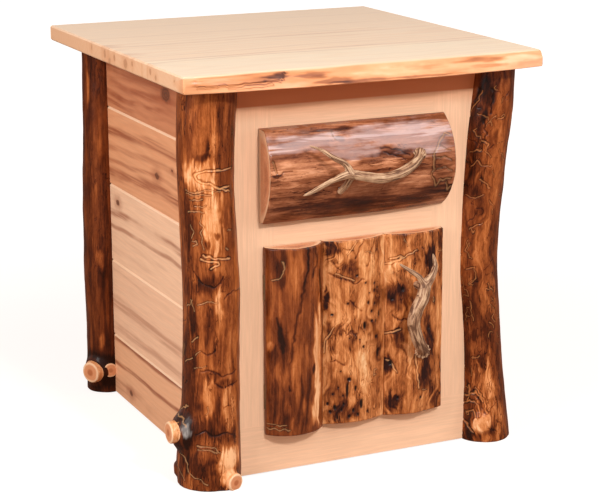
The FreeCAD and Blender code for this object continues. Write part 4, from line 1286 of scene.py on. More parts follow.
FRONT_LEFT_MARKS = Marks(
    seed=11, base=.44, restless=.16, scribbles=30, swirl=5,
    patches=((190, 502, 29, 22, .4), (203, 431, 21, 50, .38), (153, 169, 24, 156, -.26),
        (160, 430, 9, 53, -.32), (231, 541, 17, 69, -.14), (235, 419, 14, 47, -.12),
        (197, 574, 18, 46, .08), (176, 417, 10, 31, -.12), (191, 333, 30, 14, -.26),
        (207, 278, 6, 41, .24), (191, 266, 9, 32, -.18), (222, 279, 8, 26, -.16),
        (240, 256, 14, 48, .12), (206, 306, 34, 40, .08), (195, 187, 19, 8, -.2),
        (225, 172, 23, 6, -.2), (188, 153, 15, 28, .22), (230, 136, 17, 36, .2),
        (206, 130, 5, 26, -.12), (197, 104, 26, 18, -.22), (223, 90, 31, 13, -.18),
        (183, 41, 28, 18, -.3), (226, 38, 24, 26, .6), (209, 410, 6, 5, -.34),
        (192, 396, 5, 6, -.32), (198, 544, 3, 15, -.22), (191, 532, 12, 6, -.22),
        (110, 300, 24, 220, -.08)),
    # Painted highlight beside the left stub
    painted_highlight=((160, 97, 7, 9, .5),),
    galleries=(*lines(1.2, 1, (243, 512, 230, 511, 219, 511, 203, 511, 189, 510, 181, 508, 178, 504,
        181, 498, 189, 495, 199, 492, 210, 486, 218, 482, 226, 480, 237, 476),
        (218, 482, 226, 484, 237, 484), (185, 380, 193, 378, 201, 375, 213, 374, 232, 371), (182,
        373, 190, 371, 200, 370, 208, 368, 210, 365, 202, 362, 196, 358)), *lines(.9, .7, (159, 480,
        167, 478, 184, 478, 189, 482, 202, 481, 218, 478), (159, 474, 172, 474, 188, 476, 202, 474),
        (167, 465, 177, 466, 187, 468), (175, 456, 183, 455, 193, 458),
        (163, 445, 175, 448, 189, 447), (185, 442, 183, 430, 188, 424, 183, 416, 186, 408, 183, 398,
        187, 389), (169, 394, 176, 396, 174, 401, 169, 402), (166, 427, 171, 416, 168, 406),
        (159, 307, 167, 289), (149, 295, 163, 305), (173, 301, 189, 306, 206, 305),
        (160, 240, 173, 250), (146, 204, 155, 211, 163, 213), (177, 74, 190, 75, 202, 71, 212, 63),
        (177, 69, 193, 69, 207, 64), (147, 57, 157, 50, 163, 43, 163, 31, 173, 23, 186, 18, 194,
        12), (137, 33, 149, 24, 156, 13), (125, 108, 125, 117, 155, 137),
        (137, 118, 154, 115, 161, 105), (125, 114, 125, 104, 149, 109), pale=.7), *lines(1.8, .8,
        (216, 309, 223, 315, 236, 319, 265, 319), (186, 333, 200, 328, 211, 335, 214, 345), (179,
        195, 190, 197, 201, 195, 210, 186, 225, 187, 242, 189),
        (202, 175, 214, 168, 226, 168, 245, 171), (168, 353, 175, 341, 181, 334), (174, 93, 187,
        101, 200, 91, 220, 95, 242, 82), (180, 227, 189, 221, 201, 227), pale=0)))

FRONT_RIGHT_MARKS = Marks(
    seed=23, base=.36, restless=.2, scribbles=170, swirl=18,
    patches=((165, 596, 19, 22, -.24), (146, 514, 11, 61, -.18), (160, 556, 7, 13, -.34),
        (195, 481, 17, 64, .14), (154, 432, 16, 12, -.18), (161, 186, 7, 9, -.24),
        (184, 188, 8, 21, -.18), (172, 66, 24, 59, .36), (196, 37, 16, 31, .24),
        (139, 5, 18, 11, -.24), (142, 330, 13, 102, .08), (183, 340, 15, 51, .12),
        (163, 24, 9, 11, .3), (182, 246, 11, 24, .18)),
    galleries=(*lines(1, .8, (153, 596, 149, 579, 137, 565, 132, 545, 126, 519),
        (182, 551, 187, 552, 193, 550), (145, 494, 155, 497, 163, 499),
        (150, 470, 159, 482, 168, 473, 184, 474), (167, 450, 178, 443, 185, 436),
        (146, 423, 162, 421, 175, 423), (126, 374, 136, 379, 139, 366, 140, 353),
        (105, 352, 130, 368), (117, 336, 132, 328, 146, 322), (158, 369, 171, 376, 181, 379),
        (156, 348, 153, 331, 160, 322), (153, 297, 170, 302, 171, 284, 160, 272),
        (187, 263, 198, 265, 205, 255), (192, 274, 200, 261),
        (193, 236, 205, 226, 196, 214, 206, 205), (199, 248, 206, 236), (191, 207, 202, 195),
        (158, 246, 160, 226, 162, 212), (163, 515, 173, 509, 172, 496, 182, 489),
        (188, 415, 197, 404, 195, 391), pale=.7), *lines(1.5, 1.4,
        (139, 79, 158, 88, 172, 75, 174, 54), (132, 60, 149, 73, 162, 66, 165, 49),
        (141, 50, 155, 56, 158, 39), (145, 98, 147, 81, 141, 67), (158, 95, 166, 85, 169, 71),
        (132, 37, 143, 29, 152, 17), pale=.8), *lines(2.2, 1.6, (161, 548, 168, 524, 163, 499),
        (146, 600, 143, 575), (172, 600, 170, 560), (152, 90, 164, 76, 168, 60), pale=0)))

BACK_LEFT_MARKS = Marks(
    seed=37, base=.24, restless=.12, scribbles=5,
    patches=((150, 470, 9, 90, .14), (143, 330, 8, 70, .1), (165, 220, 12, 40, -.06),
        (130, 560, 5, 26, .3), (150, 250, 8, 16, .32), (150, 95, 5, 16, .3)))

BACK_RIGHT_MARKS = Marks(
    seed=53, base=.36, restless=.24, scribbles=30,
    patches=((20, 400, 30, 60, .2), (200, 300, 30, 90, .15), (60, 150, 30, 50, -.2)))


@dataclass
class Posts:
    """The four corner logs."""

    effects: Effects

    def build(self) -> None:
        """Makes the four logs."""
        effects = self.effects
        # The front left log's painted highlight is a pale grey
        bold = LogFinish("front_left_log_stain", highlight_colour=tint(206, 198, 192)).build(effects)
        fine = LogFinish("front_right_log_stain", groove=tint(228, 144, 82), contrast=0.12,
                         hair=0.20, fleck=0.50, vein=0.30).build(effects)
        dark = LogFinish("back_log_stain", contrast=0.24, fleck=0.30, vein=0.14).build(effects)
        Post("post_front_left", -1, -1, 45.0, (-247.0, -236.0), (
            (0, -.10, 0, 1.10), (.04, -.10, 0, 1.13), (.14, -.03, 0, 1.06), (.24, .02, 0, 1.01),
            (.36, .06, 0, .99), (.48, .09, 0, .99), (.61, .04, 0, .98), (.74, -.03, 0, .97),
            (.87, -.05, 0, 1.01), (1, .05, 0, 1.02)), (
                Stub(180, 91, 0, 71.5, 20, 17.6, 13), Stub(290, 14.5, -.05, 57.5, 16, 14.4, 5),
                Stub(156, 21.5, 0, 57.5, 9, 8.1, 4)), FRONT_LEFT_MARKS).build(bold)
        Post("post_front_right", 1, -1, 40.0, (247.0, -236.0), (
            (0, .05, 0, 1.12), (.07, 0, 0, 1.07), (.20, -.11, .05, .96), (.34, -.26, .14, .95),
            (.47, -.42, .21, .97), (.60, -.36, .18, .99), (.74, -.21, .10, 1.01), (.87, 0, 0, 1),
            (1, .18, 0, .92)), (Stub(238, 34, 0, 47.5, 15, 13.5, 5, .2),), FRONT_RIGHT_MARKS,
             focus=0.28).build(fine)
        Post("post_back_left", -1, 1, 36.0, (-243.0, 274.0), (
            (0, 0, 0, 1.02), (.16, .02, 0, 1), (.32, -.03, 0, .98), (.50, 0, 0, 1),
            (.68, .04, 0, .96), (.84, .10, 0, .93), (1, .14, 0, .90)), (
                Stub(210, 39, 0, 46.5, 27, 18.4, 4), Stub(260, 43, 0, 39.5, 13.5, 13, 1, .85)),
            BACK_LEFT_MARKS, 300, 100).build(dark)
        Post("post_back_right", 1, 1, 36.0, (243.0, 274.0), (
            (0, .08, 0, 1.08), (.15, .03, .03, 1), (.35, -.10, .06, .96), (.55, -.14, .04, .98),
            (.75, 0, 0, 1), (1, .08, 0, .97)), (Stub(0, 91, 0, 75.5, 20, 17.6),),
            BACK_RIGHT_MARKS, 300, 100).build(dark)


@dataclass
class HalfLog:
    """A half log with a flat back, in millimetres: lying along X, or standing along Z.

    Low and high are its edges across, start and length its place along, and edge and depth how
    far its edges and its crown stand out. Each row of levels holds a share of the length, then
    shares of the depth, of the low edge and of the high edge. Hinges are the stretches where the
    low edge of the back is cut away, and sawn says how bare the wood of the ends is.
    """

    name: str
    node: str
    body: str
    low: float
    high: float
    start: float
    length: float
    edge: float
    depth: float
    levels: Sequence[tuple[float, float, float, float]]
    marks: Marks
    upright: bool = True
    rows: int = 260
    columns: int = 90
    relief: float = 0.9
    hinges: Sequence[tuple[float, float]] = ()
    sawn: float = 0.8

    def section(self, level: Array) -> tuple[Array, ...]:
        """For each level, finds the circle through the two edges and the crown of the face.

        Args:
            level: places along the log.

        Returns:
            The circle's centre across and outwards, its radius, and the angles of the low and
            the high edge.
        """
        table = np.array(self.levels, float)
        share = (level - self.start) / self.length
        swell = spline_through(table[:, 0], table[:, 1:], share)
        x1, x2, x3 = self.low, (self.low + self.high) / 2, self.high
        y1, y2, y3 = self.edge * swell[:, 1], self.depth * swell[:, 0], self.edge * swell[:, 2]
        twice = 2 * (x1 * (y2 - y3) + x2 * (y3 - y1) + x3 * (y1 - y2))
        s1, s2, s3 = x1 ** 2 + y1 ** 2, x2 ** 2 + y2 ** 2, x3 ** 2 + y3 ** 2
        centre = (s1 * (y2 - y3) + s2 * (y3 - y1) + s3 * (y1 - y2)) / twice
        out = (s1 * (x3 - x2) + s2 * (x1 - x3) + s3 * (x2 - x1)) / twice
        return (centre, out, np.hypot(x1 - centre, y1 - out), np.arctan2(y1 - out, x1 - centre),
                np.arctan2(y3 - out, x3 - centre))

    def back(self, level: Array, outwards: Array) -> tuple[Array, Array]:
        """Places the low side, which steps in at the hinges.

        Args:
            level: places along the log.
            outwards: how far the low edge of the face stands out at each.

        Returns:
            Places across and outwards of three points at each level.
        """
        x = np.full((len(level), 3), self.low)
        y = np.tile([0.0, 4.2, 4.7], (len(level), 1))
        for low, high in self.hinges:
            inside = (level > low) & (level < high)
            x[inside, :2] = self.low + 5.5
            y[inside, 1] = 4.7
        return x, np.minimum(y, outwards * np.array([0.0, 0.9, 0.95]))

    def shell(self) -> Shell:
        """Makes the log: an arc at each level, closed along its flat back.

        The radius of the arc is roughened by long and short noise and lowered by the cut lines,
        and the arc draws back at either end in a small quarter round.

        Returns:
            The log.
        """
        ends = np.array([0.0, 0.25, 0.8, 1.7, 3.0])
        stop = self.start + self.length
        level = np.unique(np.concatenate([
            self.start + ends, stop - ends, np.linspace(self.start, stop, self.rows),
            *[[low - 0.05, low + 0.05, high - 0.05, high + 0.05] for low, high in self.hinges]]))
        centre, out, radius, low_angle, high_angle = self.section(level)
        share = np.linspace(0.0, 1.0, self.columns)
        angle = low_angle[:, None] + (high_angle - low_angle)[:, None] * share
        height = np.broadcast_to(level[:, None], angle.shape)
        across = centre[:, None] + radius[:, None] * np.cos(angle)
        fields = self.marks.fields(across, height, [*self.marks.galleries, *self.marks.scribbled(
            (self.low + 4, self.high - 4), (self.start + 6, stop - 6))])
        spot = np.stack([across, np.zeros_like(across), height], axis=-1)
        seed = self.marks.seed
        bumps = (1.9 * self.relief * layered_noise(spot / np.array([26.0, 1.0, 85.0]), seed + 3, 3)
                 + 0.6 * self.relief * layered_noise(spot / np.array([7.0, 1.0, 26.0]), seed + 4,
                                                     3))
        drawn_in = 2.2 * quarter_round(np.minimum(level - self.start, stop - level) / 3.0)
        grown = radius[:, None] + bumps - fields["cut"] - drawn_in[:, None]
        across = np.clip(centre[:, None] + grown * np.cos(angle), self.low, self.high)
        outwards = np.maximum(out[:, None] + grown * np.sin(angle), 0.5)
        side_x, side_y = self.back(level, outwards[:, :1])
        back_x = np.tile(np.linspace(self.high, self.low, 8)[:-1], (len(level), 1))
        x = np.concatenate([side_x, across, back_x], axis=1)
        y = FRONT_BACK / MM - np.concatenate([side_y, outwards, np.zeros_like(back_x)], axis=1)
        paint = padded(fields, side_x.shape[1], back_x.shape[1], 0.35)
        height = np.broadcast_to(level[:, None], x.shape)
        rows = np.stack([x, y, height] if self.upright else [height, y, x], axis=-1)
        if not self.upright:
            rows, paint = rows[:, ::-1], {key: value[:, ::-1] for key, value in paint.items()}
        hubs = (rows[0].mean(axis=0), rows[-1].mean(axis=0))
        rim = 0.985
        rows = np.concatenate([hubs[0] + (rows[:1] - hubs[0]) * rim, rows,
                               hubs[1] + (rows[-1:] - hubs[1]) * rim])
        paint = {key: np.concatenate([value[:1], value, value[-1:]])
                 for key, value in paint.items()}
        for end in (0, -1):
            paint["bare"][end] = self.sawn
            paint["groove"][end] = paint["painted_highlight"][end] = paint["pit"][end] = 0.0
        shell = capped_tube(rows, paint, hubs)
        shell.paint["ring"][-2:] = 0.0
        return shell

    def build(self, finish: bpy.types.Material) -> None:
        """Makes the log, dresses it and lets it stand for its solid."""
        stand_in(piece_from(self.name, [self.shell()], 50.0), finish, self.body, self.node)


@dataclass
class Antler:
    """A shed antler used as a pull, in millimetres: smooth branches, melted into one surface.

    Middle is the level that its shares start from, burr the radius of the disc at its foot, and
    wood and reach are how far the log and the pull stand out from the frame. Each point of a
    branch holds shares of the length to the side and up, a share of the room between the wood
    and the outermost line, and a share of the radius. Cell is the grain of the melting.
    """

    body: str
    middle: float
    length: float
    radius: float
    burr: float
    wood: float
    reach: float
    branches: Sequence[Sequence[tuple[float, float, float, float]]]
    seed: int
    tone: float
    cell: float = 0.9

    def centreline(self, shares: Sequence[tuple[float, ...]]) -> tuple[Array, Array]:
        """Spreads points evenly over a smooth curve through a branch.

        Args:
            shares: the branch's points.

        Returns:
            The points and the radius at each.
        """
        table = np.array(shares, float)
        room = self.reach - self.radius - self.wood
        points = np.stack([self.length * table[:, 0],
                           FRAME_FRONT / MM - self.wood - room * table[:, 2],
                           self.middle + self.length * table[:, 1]], axis=1)
        steps = self.walked(points)
        places = np.linspace(0.0, steps[-1], 90)
        return (spline_through(steps, points, places),
                spline_through(steps, table[:, 3:] * self.radius, places)[:, 0])

    @staticmethod
    def walked(points: Array) -> Array:
        """The way walked along a line to each of its points."""
        return np.concatenate([[0.0], np.cumsum(np.linalg.norm(np.diff(points, axis=0), axis=1))])

    @staticmethod
    def tube(line: Array, radii: Array) -> Shell:
        """Sets rings square to a line, carried along it without twist, with a rounded tip.

        Args:
            line: points along a branch.
            radii: the radius at each.

        Returns:
            The branch.
        """
        tangent = unit(np.gradient(line, axis=0))
        side = np.empty_like(line)
        current = np.array([0.0, 0.0, 1.0])
        for index, direction in enumerate(tangent):
            current = unit(current - direction * (current @ direction))
            side[index] = current
        angle = np.linspace(0.0, 2.0 * math.pi, 28, endpoint=False)
        left = np.clip((len(line) - 1 - np.arange(len(line))) / 3.0, 0.0, 1.0)
        radii = radii * np.sqrt(np.clip(1.0 - (1.0 - left) ** 2, 0.02, 1.0))
        spin = circle(angle, side[:, None], np.cross(tangent, side)[:, None])
        return capped_tube(line[:, None] + radii[:, None, None] * spin)

    def crown(self, line: Array) -> Shell:
        """Makes the burr: a short disc round the foot, its rim beaded by two sine waves.

        Args:
            line: points along the main branch, from the foot.

        Returns:
            The burr.
        """
        outward = unit(line[4] - line[0])
        side = unit(np.cross(outward, [0.0, 0.0, 1.0]))
        angle = np.linspace(0.0, 2.0 * math.pi, 48, endpoint=False)
        along = np.array([-6.0, -2.0, 0.0, 1.6, 3.0, 4.2, 5.4, 7.5])
        share = np.array([0.90, 0.96, 1.0, 1.04, 1.02, 0.94, 0.80, 0.62])
        beads = 0.09 * np.sin(11 * angle + self.seed) + 0.05 * np.sin(17 * angle)
        radius = self.burr * share[:, None] * (1.0 + beads * np.clip(share, 0.6, 1)[:, None])
        spin = circle(angle, side, np.cross(outward, side))
        rows = line[0] + along[:, None, None] * outward + radius[..., None] * spin
        return capped_tube(rows)

    def melted(self, shells: Sequence[Shell]) -> bpy.types.Object:
        """Melts shells into one surface by filling cells, and eases its steps.

        Args:
            shells: the branches and the burr, which overlap.

        Returns:
            One piece with one closed surface.
        """
        name = self.body + "_antler_pull"
        raw = piece_from(name + "_raw", shells, 40.0)
        melt = raw.modifiers.new("melt", "REMESH")
        melt.mode = "VOXEL"
        melt.voxel_size = self.cell * MM
        ease = raw.modifiers.new("ease", "SMOOTH")
        ease.factor = 0.5
        ease.iterations = 6
        bpy.context.view_layer.update()
        mesh = bpy.data.meshes.new_from_object(
            raw.evaluated_get(bpy.context.evaluated_depsgraph_get()))
        bpy.data.objects.remove(raw)
        mesh.name = name
        mesh.materials.clear()
        piece = bpy.data.objects.new(name, mesh)
        bpy.context.scene.collection.objects.link(piece)
        return piece

    def build(self, finish: bpy.types.Material) -> None:
        """Melts the branches together, roughens them along their length and paints the way.

        After the melting, each point finds the nearest place on the centrelines. Furrows are
        noise in the length along and the direction from that line, and move the point outwards.

        Args:
            finish: the pull's material.
        """
        lines = [self.centreline(shares) for shares in self.branches]
        foot = lines[0][0]
        piece = self.melted([*[self.tube(line, radii) for line, radii in lines], self.crown(foot)])
        mesh = piece.data
        count = len(mesh.vertices)
        flat = np.empty((2, count * 3), np.float32)
        mesh.vertices.foreach_get("co", flat[0])
        mesh.vertices.foreach_get("normal", flat[1])
        points, normals = flat.reshape(2, -1, 3).astype(float)
        points = points / MM
        line = np.concatenate([one for one, _ in lines])
        start = np.cumsum([0.0, *[self.walked(one)[-1] for one, _ in lines]])
        run = np.concatenate([low + np.linspace(0.0, high - low, len(one))
                              for low, high, (one, _) in zip(start, start[1:], lines)])
        tip = np.concatenate([np.linspace(0.0, 1.0, len(one)) for one, _ in lines])
        nearest = np.empty(count, int)
        batch = 4000
        for low in range(0, count, batch):
            gap = points[low:low + batch, None] - line[None]
            nearest[low:low + batch] = np.argmin((gap ** 2).sum(axis=2), axis=1)
        run, tip = run[nearest], tip[nearest]
        tangent = unit(np.gradient(line, axis=0))[nearest]
        out = points - line[nearest]
        out = unit(out - tangent * (out * tangent).sum(axis=1)[:, None])
        furrow = layered_noise(np.stack([out[:, 0] * 2.2 * 1.6, out[:, 2] * 2.2 * 1.6, run / 30.0],
                                        axis=1), self.seed, 3)
        points = points + normals * (0.55 * furrow * (1.0 - 0.7 * tip))[:, None]
        mesh.vertices.foreach_set("co", (points * MM).astype(np.float32).ravel())
        crown = np.exp(-(np.linalg.norm(points - foot[0], axis=1) / (self.burr * 1.05)) ** 4)
        tone = self.tone + 0.25 * (0.5 - tip) - 0.5 * crown
        for key, values in (("along", run * MM), ("around", out[:, 0]), ("around_too", out[:, 2]),
                            ("tone", tone)):
            paint_on(mesh, key, values)
        mesh.shade_smooth()
        stand_in(piece, finish, self.body, self.body + "_pull")


def dress(node: str, material: bpy.types.Material) -> None:
    """Gives a solid that stays its finish, in each of its material slots."""
    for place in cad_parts[node].material_slots:
        place.material = material


def dress_boards(style: PineFinish, effects: Effects, boards: dict[Grain, Sequence[str]]) -> None:
    """Gives boards one look, each with its own stretch of tree.

    Args:
        style: the look, whose name ends the name of each board's finish.
        effects: the shared node groups.
        boards: the nodes' names by the way of their grain.
    """
    for grain, nodes in boards.items():
        for node in nodes:
            pith = (style.pith[0] * len(node), *style.pith[1:])
            dress(node, replace(style, name=f"{node}_{style.name}", grain=grain,
                                pith=pith).build(effects))


TOP_EDGE_MARKS = Marks(
    seed=83, base=.7, restless=.14,
    patches=((650, -220, 5, 70, -.14), (652, -165, 3, 22, -.34), (655, -150, 2.5, 14, -.4),
        (650, -100, 6, 22, -.3), (640, -72, 5, 24, -.26), (637, -30, 3, 50, -.36),
        (646, 40, 8, 60, .16), (637, 70, 2, 60, -.34), (652, 185, 4, 40, -.26),
        (643, 200, 3, 40, -.2), (648, 262, 8, 34, .24)),
    galleries=lines(.9, .6, (643, -290, 644.5, -200, 646, -156, 655, -149), (640, -240, 641, -170)))


@dataclass
class Top:
    """The glued top: four plain boards that stay, and the front board with its natural edge.

    The edge line holds shares of the width, then of the bulge for its upper and lower arris.
    """

    effects: Effects
    edge_line: Sequence[Row] = (
        (-.5, -.22, -.15), (-.44, -.15, -.4), (-.38, -.15, -.65), (-.3, .15, -.74),
        (-.25, .22, -.79), (-.2, 0, -.98), (-.13, -.08, -.9), (-.05, .24, -.85), (.07, .15, -.9),
        (.18, .2, -1), (.29, .34, -.73), (.41, .32, -.4), (.5, .55, .05))
    bulge: float = 20.0
    front_depth: float = 162.0
    front_knots: Sequence[Row] = (
        (-0.31, -0.168, 0.650, 0.006), (-0.31, -0.190, 0.644, 0.005),
        (-0.31, -0.270, 0.648, 0.003))
    # Each board: depth and level of the tree's middle, brown bands across it, knots on its end
    boards: Sequence[tuple] = (
        ("second", 0.030, 0.17, ((-0.129, 0.004, 0.5), (-0.085, 0.003, 0.3)),
         ((-0.31, -0.056, 0.646, 0.009), (-0.31, -0.088, 0.650, 0.005))),
        ("third", -0.045, 0.20, ((0.026, 0.004, 0.5), (0.055, 0.003, 0.35), (-0.01, 0.003, 0.3)),
         ((-0.31, 0.042, 0.649, 0.008), (-0.31, -0.006, 0.647, 0.007),
          (-0.31, 0.020, 0.641, 0.006))),
        ("fourth", -0.16, 0.15, ((0.13, 0.003, 0.3),), ((-0.31, 0.108, 0.650, 0.005),)),
        ("back", -0.27, 0.19, ((0.24, 0.004, 0.2),), ()))

    def front_board(self) -> Shell:
        """Makes the front board: a closed outline in Y and Z carried along X.

        The natural edge runs from the upper to the lower line with a rounded arris, hollowed by a
        half sine and roughened by noise that dies out towards the flat faces. A strip along its
        left half has lost its bark.

        Returns:
            The board, painted with its edge and the edge's tone.
        """
        width, front = HALF_TOP / MM, TOP_FRONT / MM
        low, high = HEIGHT, TOP_LEVEL / MM
        x = np.unique(np.concatenate([np.linspace(-width, width, 300),
                                      [-width + 1.0, -width + 2.5, width - 2.5, width - 1.0]]))
        table = np.array(self.edge_line)
        limits = spline_through(table[:, 0] * 2 * width, table[:, 1:] * self.bulge, x)
        upper, lower = front + limits[:, 0], front + limits[:, 1]
        t = np.linspace(0.0, 1.0, 26)
        thick = high - low
        edge_y = upper[:, None] + (lower - upper)[:, None] * t ** 0.85
        edge_z = np.broadcast_to(high - thick * t, edge_y.shape)
        held = np.sin(math.pi * np.clip(t, 0.02, 0.98)) ** 0.5
        zero = np.zeros_like(edge_y)
        relief = zero
        for strength, long, tall, seed in ((1.5, 130.0, 9.0, 71), (0.5, 40.0, 4.0, 72)):
            spot = np.stack([x[:, None] / long + zero, zero, edge_z / tall], axis=-1)
            relief = relief + strength * layered_noise(spot, seed, 3)
        strip = (smoothstep(-300.0, -285.0, x) * (1.0 - smoothstep(-151.0, -149.6, x)))[:, None]
        strip = strip * smoothstep(0.10, 0.16, t) * (1.0 - smoothstep(0.52, 0.60, t))
        relief = relief * held - 1.3 * strip - 1.6 * np.sin(math.pi * t) * held
        arris, foot = (size * quarter_round(share * thick / size)
                       for size, share in ((1.8, t), (1.2, 1.0 - t)))
        edge_y = edge_y + relief + arris + foot
        back = front + self.front_depth
        top_y = back + (edge_y[:, :1] - back) * np.linspace(0.0, 1.0, 14)[:-1]
        foot_y = edge_y[:, -1:] + (back - edge_y[:, -1:]) * np.linspace(0.0, 1.0, 8)[1:]
        plain = np.zeros_like(top_y), np.zeros_like(foot_y)
        y = np.concatenate([top_y, edge_y, foot_y], axis=1)
        z = np.concatenate([plain[0] + high, edge_z, plain[1] + low], axis=1)
        bevel = np.clip(2.5 - (width - np.abs(x)), 0.0, 2.5)[:, None]
        z = np.clip(z, low + bevel, high - bevel)
        y = np.maximum(y, y.min(axis=1, keepdims=True) + bevel)
        along = np.broadcast_to(x[:, None], y.shape)
        edge = np.concatenate([plain[0], smoothstep(0.02, 0.10, t) + zero, plain[1]], axis=1)
        rim = 0.2 * np.exp(-((strip - 0.5) / 0.35) ** 2) * (strip > 0.01)
        tone = TOP_EDGE_MARKS.fields(z, along, TOP_EDGE_MARKS.galleries)["tone"] - np.concatenate(
            [plain[0], rim, plain[1]], axis=1)
        shell = capped_tube(np.stack([along, y, z], axis=-1), {"edge": edge, "tone": tone})
        shell.paint["edge"][-2:] = 0.0
        return shell

    def build(self) -> None:
        """Dresses the plain boards and makes the front one."""
        for name, across, up, bands, knots in self.boards:
            node = "top_board_" + name
            pith = (0.3 * across, -across, -UNDERSIDE + up)
            dress(node, PineFinish(
                node + "_pine", Grain.ALONG_X, tint(242, 208, 172), tint(234, 188, 146),
                tint(188, 122, 78), 0.20, 0.58, pith, 0.009, 0.05, 0.40, knots, bands,
                1).build(self.effects))
        finish = PineFinish(
            "live_edge_pine", Grain.ALONG_X, tint(244, 216, 182), tint(236, 198, 158),
            tint(196, 134, 90), 0.14, 0.58, (0.4, 0.20, -0.47), 0.008, 0.06, 0.30,
            self.front_knots, ((-0.150, 0.005, 0.45),), 1, live_edge=True)
        stand_in(piece_from("top_live_edge_board", [self.front_board()], 35.0),
                 finish.build(self.effects), "cabinet", "top_board_front")


@dataclass
class Carcass:
    """The side boards, the face frame, the back, the floor and the hidden strips, all of pine."""

    effects: Effects
    # Level in metres from which the face frame gets the top's painted shadow
    shadow_level: float = 0.595
    # Each board: depth and level of the tree's middle, colours of the wood, knots and brown bands
    side_boards: Sequence[tuple] = (
        (0.10, 0.30, (240, 180, 138), (224, 154, 110), ((-0.24, 0.156, 0.023, 0.006),),
            ((0.106, 0.009, 0.85), (0.060, 0.006, 0.85), (0.022, 0.014, 0.40))),
        (0.22, -0.14, (246, 196, 160), (236, 178, 140), (),
            ((0.170, 0.016, 0.45), (0.128, 0.010, 0.40), (0.226, 0.004, 0.15))),
        (0.07, 0.52, (248, 200, 164), (238, 182, 142),
            ((-0.24, 0.199, 0.360, 0.006),),
            ((0.341, 0.010, 0.75), (0.316, 0.006, 0.60), (0.272, 0.008, 0.15))),
        (0.12, 0.36, (232, 164, 120), (210, 132, 88),
            ((-0.24, 0.001, 0.447, 0.007), (-0.24, -0.070, 0.470, 0.003)),
            ((0.491, 0.012, 0.80), (0.416, 0.016, 0.80), (0.462, 0.008, 0.45),
             (0.438, 0.006, 0.50))),
        (0.16, 0.70, (206, 134, 94), (172, 98, 62), ((-0.24, -0.046, 0.590, 0.016),),
            ((0.556, 0.008, 0.80), (0.543, 0.005, 0.70), (0.576, 0.010, 0.65),
             (0.604, 0.018, 0.60))))

    def build(self) -> None:
        """Gives every board its own piece of tree."""
        for side, sign in (("left", -1), ("right", 1)):
            for number, (depth, up, pale, warm, knots, bands) in enumerate(self.side_boards, 1):
                node = f"side_board_{side}_{number}"
                shift = 0.02 if sign > 0 else 0.0
                pith = (0.37 * number + 0.2 * sign, sign * (HALF_BOX + depth - 0.1), -up)
                # Each side board gets a painted highlight on the faces that look up
                dress(node, PineFinish(
                    node + "_pine", Grain.ALONG_Y, tint(*pale), tint(*warm), tint(144, 66, 34),
                    0.18, 0.52 + 0.02 * (number % 3), pith, 0.012, 0.09, 0.20,
                    tuple((sign * -x, y + shift, z, r) for x, y, z, r in knots), bands,
                    painted_bevel_highlight=True).build(self.effects))
        # The face frame, with the painted shadow of the top from that level up
        dress_boards(PineFinish(
            "pine", Grain.ALONG_X, tint(246, 200, 164), tint(240, 190, 152), tint(218, 156, 114),
            0.07, 0.58, (0.1, 0.12, 0.25), 0.010, 0.05, 0.12, roughness=0.46,
            painted_shadow_from=self.shadow_level), self.effects, {
                Grain.ALONG_Z: ("stile_left", "stile_right"),
                Grain.ALONG_X: ("rail_top", "rail_middle", "rail_bottom")})
        dress_boards(PineFinish(
            "pine", Grain.ALONG_X, tint(226, 190, 146), tint(210, 164, 116), tint(170, 112, 70),
            0.30, 0.55, (0.07, 0.10, 0.21), 0.011, 0.06, 0.42, roughness=0.6, coat=0.0),
            self.effects, {
                Grain.ALONG_X: ("back_rails", "cabinet_floor"), Grain.ALONG_Z: ("back_panel",),
                Grain.ALONG_Y: ("floor_cleats", "top_cleats", "slide_mounting_rails")})
        log.info("carcass: its boards and strips are dressed")


@dataclass
class Hardware:
    """Screws, hinges, slides and the catch."""

    slides: Sequence[str] = ("slide_outer_left", "slide_outer_right", "slide_middle_left",
                             "slide_middle_right", "slide_inner_left", "slide_inner_right")
    hinges: Sequence[str] = ("hinge_frame_leaves", "hinge_door_leaves", "hinge_pins",
                             "catch_strike")
    screws: Sequence[str] = ("top_screws", "post_lag_screws", "drawer_front_screws",
                             "drawer_pull_screws", "door_pull_screws", "batten_screws")

    def build(self) -> None:
        """Plates the steel and moulds the plastic."""
        for finish, nodes in (
                (MetalFinish("zinc_plated_steel", tint(206, 208, 210)), self.slides),
                (MetalFinish("antique_plated_steel", tint(140, 112, 84), 0.42), self.hinges),
                (MetalFinish("screw_steel_bright", tint(190, 188, 184), 0.38), self.screws),
                (PlasticFinish("brown_plastic", tint(92, 62, 44)), ("catch_magnet",))):
            material = finish.build()
            for node in nodes:
                dress(node, material)
        log.info("hardware: dressed")
